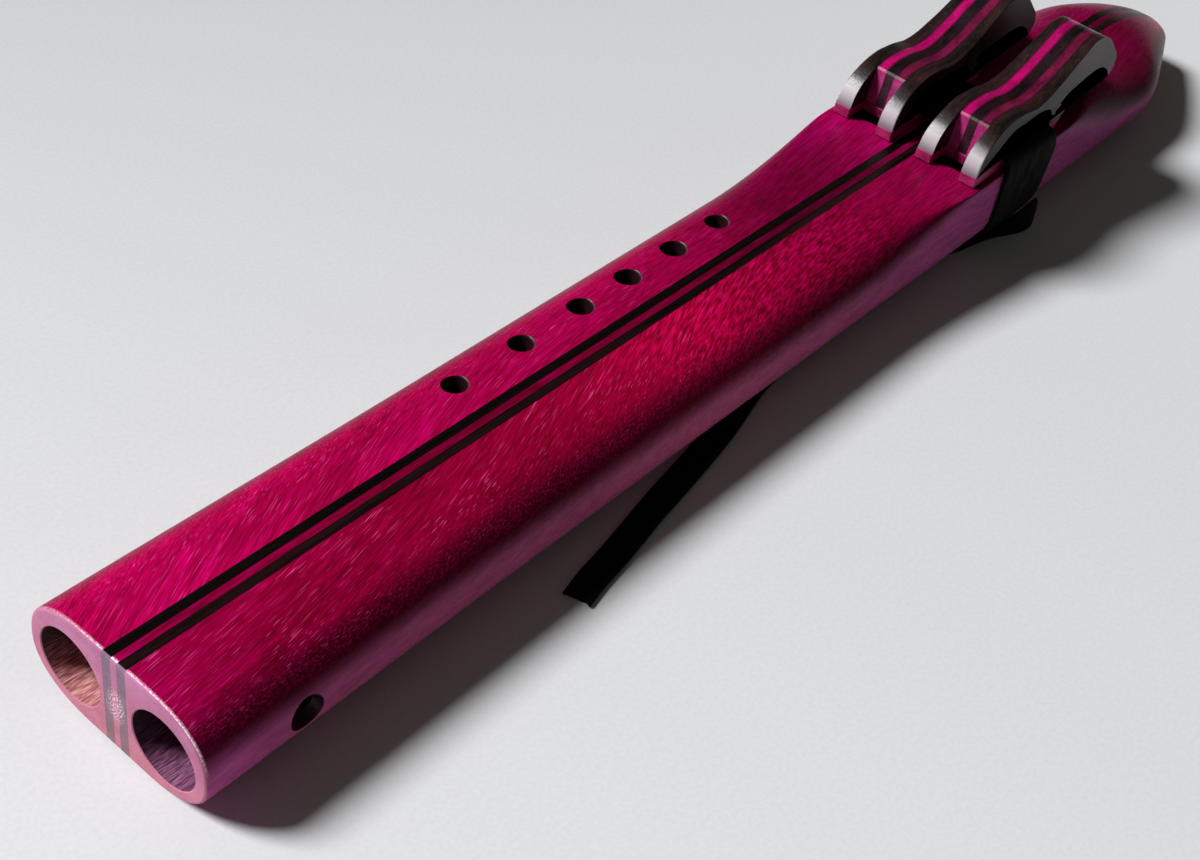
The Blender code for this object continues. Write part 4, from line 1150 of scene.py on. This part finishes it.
def strap_half(side):
    """Inside of the band from the middle of its top run to the middle of its underside.

    Each point is (y, z, spread, gather): how far the band has spread from its width in the
    tunnels, and how far its rear edge is gathered forward, both from 0 to 1.
    """
    pulled = 1.0 if side < 0 else 0.0
    top = DECK_HEIGHT + 2 * SEAT_GAP + BLOCK_BASE_THICKNESS
    edge = BORE_OFFSET + BLOCK_FRONT_HALF_WIDTH
    beside = NEST_HALF_WIDTH + SEAT_GAP
    route = [
        (0.0, top, 0.0, 0.0),
        (BORE_OFFSET, top, 0.0, 0.0),
        (edge - 2.0, top, 0.0, 0.0),
        (edge + 0.7, top - 0.3, 0.1, 0.0),
        (beside - 0.6, top - 1.8, 0.5, 0.0),
        (beside + 0.1, DECK_HEIGHT - 0.5, 0.9, 0.0),
        (beside + 0.1, 0.45 * DECK_HEIGHT, 1.0, 0.1 * pulled),
        (beside, 0.0, 1.0, 0.3 * pulled),
    ]
    angle = np.radians(np.linspace(0, 90, 13))[1:]
    across = KEEL_FLAT + (beside - KEEL_FLAT) * np.maximum(np.cos(angle), 0.0) ** (2 / KEEL_POWER)
    down = -(KEEL_DEPTH + SEAT_GAP) * np.sin(angle) ** (2 / KEEL_POWER)
    for step, (y, z) in enumerate(zip(across, down), start=1):
        route.append((y, z, 1.0, mix(0.3, 1.0, float(ease(step, 0, 4))) * pulled))
    return np.array([(side * y, z, spread, gather) for y, z, spread, gather in route])


def strap_band_mesh(name):
    """Closed band: a thin section carried round the body along the smoothed route.

    The section runs along the outside from front to rear, round the rear edge, back along the
    inside and round the front edge. Soft folds lift the outside by sines of the place across
    the band, which drift and fade along the route.
    """
    melody = strap_half(1)
    drone = strap_half(-1)
    route = np.vstack((melody, [(0.0, melody[-1][1], 1.0, 0.5)], drone[:0:-1]))
    closed = np.vstack((route, route[:1]))
    travel = np.concatenate(((0.0,), np.cumsum(np.linalg.norm(np.diff(closed[:, :2], axis=0), axis=1))))
    count = 300
    even = np.linspace(0, travel[-1], count, endpoint=False)
    path = np.stack([np.interp(even, travel, column) for column in closed.T], axis=1)
    window = np.exp(-0.5 * (np.arange(-4, 5) / 1.6) ** 2)
    window /= window.sum()
    path = sum(weight * np.roll(path, shift, axis=0) for shift, weight in zip(range(-4, 5), window))
    tangent = np.roll(path[:, :2], -1, axis=0) - np.roll(path[:, :2], 1, axis=0)
    tangent /= np.linalg.norm(tangent, axis=1, keepdims=True)
    outward = np.stack((-tangent[:, 1], tangent[:, 0]), axis=1)

    spread = path[:, 2:3]
    gather = path[:, 3:4]
    front = STRAP_CENTRE_X - STRAP_TUNNEL_WIDTH / 2 - STRAP_FRONT_SPREAD * spread
    rear = STRAP_CENTRE_X + STRAP_TUNNEL_WIDTH / 2 + STRAP_REAR_SPREAD * spread - STRAP_GATHER * gather
    across = np.linspace(0.0, 1.0, 61)
    half = STRAP_THICKNESS / 2
    turn = np.radians(np.linspace(0, 180, 7))[1:-1]
    share = np.concatenate((across, np.ones(5), across[::-1], np.zeros(5)))
    bulge = np.concatenate((np.zeros(61), half * np.sin(turn), np.zeros(61), -half * np.sin(turn)))
    lift = np.concatenate((np.ones(61), 0.5 + 0.5 * np.cos(turn), np.zeros(61), 0.5 - 0.5 * np.cos(turn)))
    x = mix(front + half, rear - half, share[None, :]) + bulge[None, :]

    around = even[:, None] / travel[-1]
    free = ease(spread, 0.4, 1.0)
    drift = 0.5 * np.sin(2 * math.pi * around * 2) + 3.0 * gather * (share[None, :] - 0.5)
    folds = 0.30 * np.sin(2 * math.pi * (share[None, :] * 3.2 + drift))
    folds += 0.16 * np.sin(2 * math.pi * (share[None, :] * 7.3 - 2.1 * drift + 0.3))
    edges = np.sin(math.pi * np.clip(share, 0, 1)) ** 0.5
    height = lift[None, :] * (STRAP_THICKNESS + (0.28 + folds) * free * edges[None, :])
    y = path[:, 0:1] + outward[:, 0:1] * height
    z = path[:, 1:2] + outward[:, 1:2] * height
    floor = -AXIS_HEIGHT + 0.02
    return mesh_from_rings(name, np.stack((x, y, np.maximum(z, floor)), axis=-1), closed=True)


def strap_tail_mesh(name):
    """Loose tail: a rounded flat section carried along the route, standing on the table.

    The section is a superellipse of power 3.4. A crease sinks its top off the middle, as on a
    strip folded lengthwise, and where the tail stands on edge its top leans to the band. The cut
    end is notched, because the fold pulls its middle back.
    """
    route = smooth_path(TAIL_ROUTE, 6)
    centre, width, height = route[:, :2], route[:, 2:3], route[:, 3:4]
    tangent = np.gradient(centre, axis=0)
    tangent /= np.linalg.norm(tangent, axis=1, keepdims=True)
    aside = np.stack((-tangent[:, 1], tangent[:, 0]), axis=1)
    angle = np.linspace(0, 2 * math.pi, 40, endpoint=False)[None, :]
    cosine = np.sign(np.cos(angle)) * abs(np.cos(angle)) ** (2 / 3.4)
    sine = np.sign(np.sin(angle)) * abs(np.sin(angle)) ** (2 / 3.4)
    flat = ease(width / height, 1.5, 3.0)
    crease = 0.22 * flat * np.exp(-(((cosine - 0.25) / 0.16) ** 2)) * (sine > 0)
    rise = height * (0.5 + 0.5 * sine - crease)
    across = 0.5 * width * cosine
    lean = 0.06 * ease(height, 4.0, 10.0) * (rise - height / 2)
    to_end = np.linalg.norm(centre - centre[-1], axis=1, keepdims=True)
    notch = TAIL_NOTCH * ease(to_end, TAIL_NOTCH_REACH, 0.0) * (1 - abs(cosine))
    x = centre[:, 0:1] + aside[:, 0:1] * across - tangent[:, 0:1] * notch
    y = centre[:, 1:2] + aside[:, 1:2] * across - tangent[:, 1:2] * notch + lean
    z = rise - AXIS_HEIGHT
    middle = np.stack((route[:, 0], route[:, 1], route[:, 3] / 2 - AXIS_HEIGHT), axis=1)
    return mesh_from_rings(name, np.stack((x, y, z), axis=-1)), to_row(middle)


class FluteWoods(bpy.types.PropertyGroup):
    """Colour and figure of the two staves."""

    melody_colour: bpy.props.FloatVectorProperty(
        name="Melody colour", description="Colour of the melody stave's oiled wood",
        default=linear("#b8014f"), size=4, subtype="COLOR", min=0.0, max=1.0,
    )
    drone_colour: bpy.props.FloatVectorProperty(
        name="Drone colour", description="Colour of the drone stave's oiled wood",
        default=linear("#a80142"), size=4, subtype="COLOR", min=0.0, max=1.0,
    )
    melody_figure: bpy.props.FloatProperty(
        name="Melody figure", description="Strength of the curl in the melody stave",
        default=0.25, min=0.0, max=1.0, subtype="FACTOR",
    )
    drone_figure: bpy.props.FloatProperty(
        name="Drone figure", description="Strength of the curl in the drone stave",
        default=0.75, min=0.0, max=1.0, subtype="FACTOR",
    )


class FluteTable(bpy.types.PropertyGroup):
    """Light, floor and camera."""

    floor_size: bpy.props.FloatProperty(
        name="Floor size", description="Width of the square floor", default=80.0, unit="LENGTH"
    )
    key_strength: bpy.props.FloatProperty(
        name="Key light", description="Strength of the large soft light", default=4.5, min=0.0
    )
    key_angle: bpy.props.FloatProperty(
        name="Key softness", description="Angle that the light fills, seen from the table",
        default=math.radians(17), subtype="ANGLE",
    )
    lens: bpy.props.FloatProperty(
        name="Lens", description="Focal length of the camera", default=55.43, unit="CAMERA"
    )


class FLUTE_OT_body(bpy.types.Operator):
    """Builds the two staves and the three strips between them."""

    bl_idname = "flute.body"
    bl_label = "Body"

    def execute(self, context):
        woods = context.scene.flute_woods
        warm_bore = bored_material("bored_purpleheart_warm", "#180810", "#9c525c", "#eaaaa2", 0.5)
        cool_bore = bored_material("bored_purpleheart_cool", "#140610", "#58264a", "#a06a8c", 0.5)
        # Near-black walls of the finger, tuning and voicing holes.
        dark_hole_wall = bored_material("near_black_hole_wall", "#240f15", "#40222a", "#7a4a56", 0.35)
        # Sanded end grain for the foot, painted pale for the key light's sheen on the end face.
        end_grain_and_sheen = end_grain_material("sanded_purpleheart_end_and_sheen", "#c9869f", "#b46e88", 0.9)
        wenge_end_and_sheen = end_grain_material("sanded_wenge_end_and_sheen", "#947b86", "#7b646e", 0.9)
        channel = bored_material("drilled_windway", "#12070c", "#2c1420", "#4a2733", 0.6)
        melody = (MELODY_FIBRES, woods.melody_colour, woods.melody_figure, MELODY_SHADE, 1, 0.5)
        drone = (DRONE_FIBRES, woods.drone_colour, woods.drone_figure, DRONE_SHADE, -1, 0.6, "#a2487a")
        sides = (("melody", warm_bore, "#120707", melody), ("drone", cool_bore, "#260f12", drone))
        for number, (prefix, bored, brown, (fibres, *look)) in enumerate(sides):
            side = look[3]
            oiled = purpleheart_material(f"oiled_purpleheart_{prefix}", *look)
            mesh = stave_mesh(prefix + "_stave", side)
            mesh.materials.append(oiled)
            cutters = voicing(side, bored, dark_hole_wall)
            cutters.append(blow_channel(side, channel))
            if side > 0:
                cutters += [finger_hole(x, radius, dark_hole_wall) for x, radius in FINGER_HOLES]
            else:
                cutters.append(tuning_hole(dark_hole_wall))
            mesh = carve(mesh, cutters)
            finish_front(mesh, 0.6, -0.62, end_grain_and_sheen)
            lay_grain(mesh, fibres, (137.0 * number, 211.0 * number, 53.0 * number))
            finish_piece(prefix + "_stave", mesh, "flute", [prefix + "_body"])

            strip = wenge_material(f"oiled_wenge_strip_{prefix}", "#050202", brown, 0.35, 0.15)
            inner = side * (CENTRE_STRIP_WIDTH / 2 + GLUE_LINE / 2)
            outer = side * (LAMINATED_EDGE - GLUE_LINE / 2)
            mesh = strip_mesh(prefix + "_accent", inner, outer)
            mesh.materials.append(strip)
            mesh = carve(mesh, [blow_channel(side, channel)])
            finish_front(mesh, 0.9, -0.3, wenge_end_and_sheen)
            lay_grain(mesh, STRAIGHT_FIBRES, (31.0 * number, 17.0 * number, 0.0))
            finish_piece(prefix + "_accent", mesh, "flute", [prefix + "_accent_strip"])

        heart = purpleheart_material(
            "oiled_purpleheart_strip", linear("#8a0138"), 0.0, MELODY_SHADE, 1, 0.0
        )
        half = CENTRE_STRIP_WIDTH / 2 - GLUE_LINE / 2
        mesh = strip_mesh("heart_strip", -half, half)
        mesh.materials.append(heart)
        finish_front(mesh, 0.6, -0.62, end_grain_and_sheen)
        lay_grain(mesh, STRAIGHT_FIBRES, (71.0, 400.0, 9.0))
        finish_piece("heart_strip", mesh, "flute", ["centre_strip"])
        return {"FINISHED"}


class FLUTE_OT_blocks(bpy.types.Operator):
    """Builds the two carved blocks, each of five laminations on a base layer."""

    bl_idname = "flute.blocks"
    bl_label = "Blocks"

    def execute(self, context):
        painted_front_highlight = ((0.0, "#6e5f6a"), (0.3, "#b0a6ae"), (0.6, "#c6c0c4"), (0.95, "#3c3638"))
        cheek_wood = wenge_material("carved_wenge", "#080404", "#361e1e", 0.42, 0.37, painted_front_highlight)
        stripe_dark = wenge_material("carved_wenge_stripe", "#0a0406", "#28121a", 0.4, 0.2)
        # The two purpleheart stripes of a block are one wood: the one towards the melody side is painted lit and the
        # other painted in shade.
        bright = stripe_material("carved_purpleheart_painted_lit", "#7a023e", "#ba0468", 0.2, "#1e0a12")
        painted_shade_stripe = stripe_material("carved_purpleheart_painted_shade", "#42061f", "#74143e", 0.2, "#1c0c12")
        base_wood = stripe_material("carved_purpleheart_base", "#720a3e", "#ac2c64", 0.2)
        pink_front = stripe_material("sanded_purpleheart_front", "#8a1a56", "#ba3a80", 0.2)
        dark_front = stripe_material("sanded_wenge_front", "#240e18", "#421e2e", 0.3)
        for number, (prefix, side) in enumerate((("melody", 1), ("drone", -1))):
            seat = (BLOCK_FRONT_X, side * BORE_OFFSET, DECK_HEIGHT)
            body = prefix + "_block"
            edge = CENTRE_STRIPE_WIDTH / 2
            glue = GLUE_LINE / 2
            shift = 90.0 * number
            for place, lean in (("outer", side), ("inner", -side)):
                name = f"{prefix}_{place}_cheek_carved"
                mesh = cheek_mesh(name, seat, lean)
                mesh.materials.append(cheek_wood)
                caps = mesh.polygons[-2:]
                lay_grain(mesh, STRAIGHT_FIBRES, (shift, 40.0 * lean, shift))
                piece = finish_piece(name, mesh, body, [f"{prefix}_block_{place}_cheek"])
                for cap in caps:
                    cap.use_smooth = False
                name = f"{prefix}_{place}_stripe_carved"
                low, high = sorted((lean * (edge + glue), lean * (CORE_EDGE - glue)))
                mesh = stripe_mesh(name, seat, low, high)
                mesh.materials.append(bright if lean > 0 else painted_shade_stripe)
                finish_front(mesh, BLOCK_FRONT_X + RAMP_TOP_X, -0.5, pink_front)
                middle = side * BORE_OFFSET + lean * (edge + CORE_EDGE) / 2
                lay_grain(mesh, STRAIGHT_FIBRES, (shift + 25.0 * lean, -middle, 7.0))
                finish_piece(name, mesh, body, [f"{prefix}_block_{place}_stripe"])
            name = prefix + "_centre_stripe_carved"
            mesh = stripe_mesh(name, seat, -edge + glue, edge - glue)
            mesh.materials.append(stripe_dark)
            finish_front(mesh, BLOCK_FRONT_X + RAMP_TOP_X, -0.5, dark_front)
            lay_grain(mesh, STRAIGHT_FIBRES, (shift + 11.0, 60.0, 3.0))
            finish_piece(name, mesh, body, [prefix + "_block_centre_stripe"])
            name = prefix + "_base_carved"
            mesh = base_mesh(name, seat, base_wood)
            lay_grain(mesh, STRAIGHT_FIBRES, (shift, 5.0, 77.0))
            piece = finish_piece(name, mesh, body, [prefix + "_block_base"])
            bevel = piece.modifiers.new("eased", "BEVEL")
            bevel.width = BASE_EDGE_ROUND * MM
            bevel.segments = 3
            bevel.limit_method = "ANGLE"
            bevel.angle_limit = math.radians(40)
        return {"FINISHED"}


class FLUTE_OT_strap(bpy.types.Operator):
    """Builds the leather band and its loose tail."""

    bl_idname = "flute.strap"
    bl_label = "Strap"

    def execute(self, context):
        leather = leather_material()
        mesh = strap_band_mesh("leather_band")
        mesh.materials.append(leather)
        finish_piece("leather_band", mesh, "flute", ["strap_band"], 60.0)
        mesh, path = strap_tail_mesh("leather_tail")
        mesh.materials.append(leather)
        tail = finish_piece("leather_tail", mesh, "flute", ["strap_tail"], 60.0)
        return {"FINISHED"}


class FLUTE_OT_plugs(bpy.types.Operator):
    """Gives the two plugs between the chambers their cedar."""

    bl_idname = "flute.plugs"
    bl_label = "Plugs"

    def execute(self, context):
        cedar = cedar_material()
        for name in ("melody_plug", "drone_plug"):
            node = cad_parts[name]
            node.data.materials.clear()
            node.data.materials.append(cedar)
        return {"FINISHED"}


def floor_material():
    """Matt white card, softly mottled, a little darker towards the far left as the light falls off."""
    material, tree, shader = new_material("white_card", 0.9, 0.2)
    place = add_node(tree, "ShaderNodeTexCoord").outputs["Object"]
    shares = []
    for direction, low, high in (((0.655, -0.756, 0), -0.27, 0.21), ((0.83, 0.558, 0), -0.245, 0.27)):
        way = add_node(tree, "ShaderNodeVectorMath", {"operation": "DOT_PRODUCT", 1: direction}, {0: place})
        shares.append(
            add_node(
                tree,
                "ShaderNodeMapRange",
                {"From Min": low, "From Max": high},
                {"Value": way.outputs["Value"]},
            )
        )
    right, far = shares
    near = add_node(tree, "ShaderNodeMix", {"data_type": "RGBA", 6: "#e5e6e9", 7: "#d3d4d7"}, {0: right})
    back = add_node(tree, "ShaderNodeMix", {"data_type": "RGBA", 6: "#bfc1c2", 7: "#d0d1d4"}, {0: right})
    card = add_node(tree, "ShaderNodeMix", {"data_type": "RGBA"}, {0: far, 6: near, 7: back})
    pulp = add_node(tree, "ShaderNodeTexNoise", {"Scale": 1 / (1.3 * MM), "Detail": 3.0}, {"Vector": place})
    mottle = add_node(
        tree, "ShaderNodeValToRGB", {}, {"Fac": pulp}, ((0.3, "#f9f9f9"), (0.62, "#ffffff"))
    ).outputs["Color"]
    card = add_node(
        tree, "ShaderNodeMix", {"data_type": "RGBA", "blend_type": "MULTIPLY", 0: 1.0}, {6: card, 7: mottle}
    )
    link_inputs(tree, shader, {"Base Color": card})
    return material


def room_world():
    """Dim room, with a low pale wall behind the table's far edge."""
    world = bpy.data.worlds.new("room")
    world.use_nodes = True
    tree = world.node_tree
    way = add_node(tree, "ShaderNodeTexCoord").outputs["Generated"]
    height = add_node(tree, "ShaderNodeSeparateXYZ", {}, {"Vector": way}).outputs["Z"]
    room = add_node(tree, "ShaderNodeValToRGB", {}, {"Fac": height}, ((0.03, "#d0d1d4"), (0.06, "#393a36"), (0.4, "#40413b")))
    link_inputs(tree, tree.nodes["Background"], {"Color": room})
    return world


class FLUTE_OT_stage(bpy.types.Operator):
    """Table, light and camera."""

    bl_idname = "flute.stage"
    bl_label = "Stage"

    def execute(self, context):
        table = context.scene.flute_table
        bpy.ops.mesh.primitive_plane_add(size=table.floor_size, location=(0, 0, 0))
        floor = context.object
        floor.name = "table"
        floor.data.materials.append(floor_material())

        light = bpy.data.lights.new("window", "SUN")
        light.energy = table.key_strength
        light.angle = table.key_angle
        window = bpy.data.objects.new("window", light)
        context.scene.collection.objects.link(window)
        to_light = Vector((-0.47, 0.536, 0.70))
        window.rotation_euler = to_light.to_track_quat("Z", "Y").to_euler()
        context.scene.world = room_world()

        lens = bpy.data.cameras.new("camera")
        lens.sensor_width = 36.0
        lens.lens = table.lens
        camera = bpy.data.objects.new("camera", lens)
        context.scene.collection.objects.link(camera)
        right = Vector((0.649, -0.749, 0.133)).normalized()
        forward = Vector((0.614, 0.413, -0.673)).normalized()
        up = right.cross(forward).normalized()
        right = forward.cross(up)
        place = Vector((-417.7, -228.4, 368.4)) * MM
        camera.matrix_world = Matrix((
            (right.x, up.x, -forward.x, place.x),
            (right.y, up.y, -forward.y, place.y),
            (right.z, up.z, -forward.z, place.z),
            (0, 0, 0, 1),
        ))
        context.scene.camera = camera
        context.scene.view_settings.view_transform = "Standard"
        return {"FINISHED"}


class FLUTE_PT_panel(bpy.types.Panel):
    bl_label = "Double Drone Flute"
    bl_idname = "FLUTE_PT_panel"
    bl_space_type = "VIEW_3D"
    bl_region_type = "UI"
    bl_category = "Flute"

    def draw(self, context):
        layout = self.layout
        for group in (context.scene.flute_woods, context.scene.flute_table):
            box_layout = layout.box()
            for name in type(group).__annotations__:
                box_layout.prop(group, name)
        for operator in OPERATORS:
            layout.operator(operator.bl_idname)


OPERATORS = (FLUTE_OT_stage, FLUTE_OT_strap, FLUTE_OT_body, FLUTE_OT_blocks, FLUTE_OT_plugs)
CLASSES = (FluteWoods, FluteTable, *OPERATORS, FLUTE_PT_panel)


def register():
    for item in CLASSES:
        bpy.utils.register_class(item)
    bpy.types.Scene.flute_woods = bpy.props.PointerProperty(type=FluteWoods)
    bpy.types.Scene.flute_table = bpy.props.PointerProperty(type=FluteTable)


def unregister():
    del bpy.types.Scene.flute_table
    del bpy.types.Scene.flute_woods
    for item in reversed(CLASSES):
        bpy.utils.unregister_class(item)


def main():
    register()
    bpy.ops.flute.stage()
    bpy.ops.flute.strap()
    bpy.ops.flute.body()
    bpy.ops.flute.blocks()
    bpy.ops.flute.plugs()


if __name__ == "__main__":
    main()
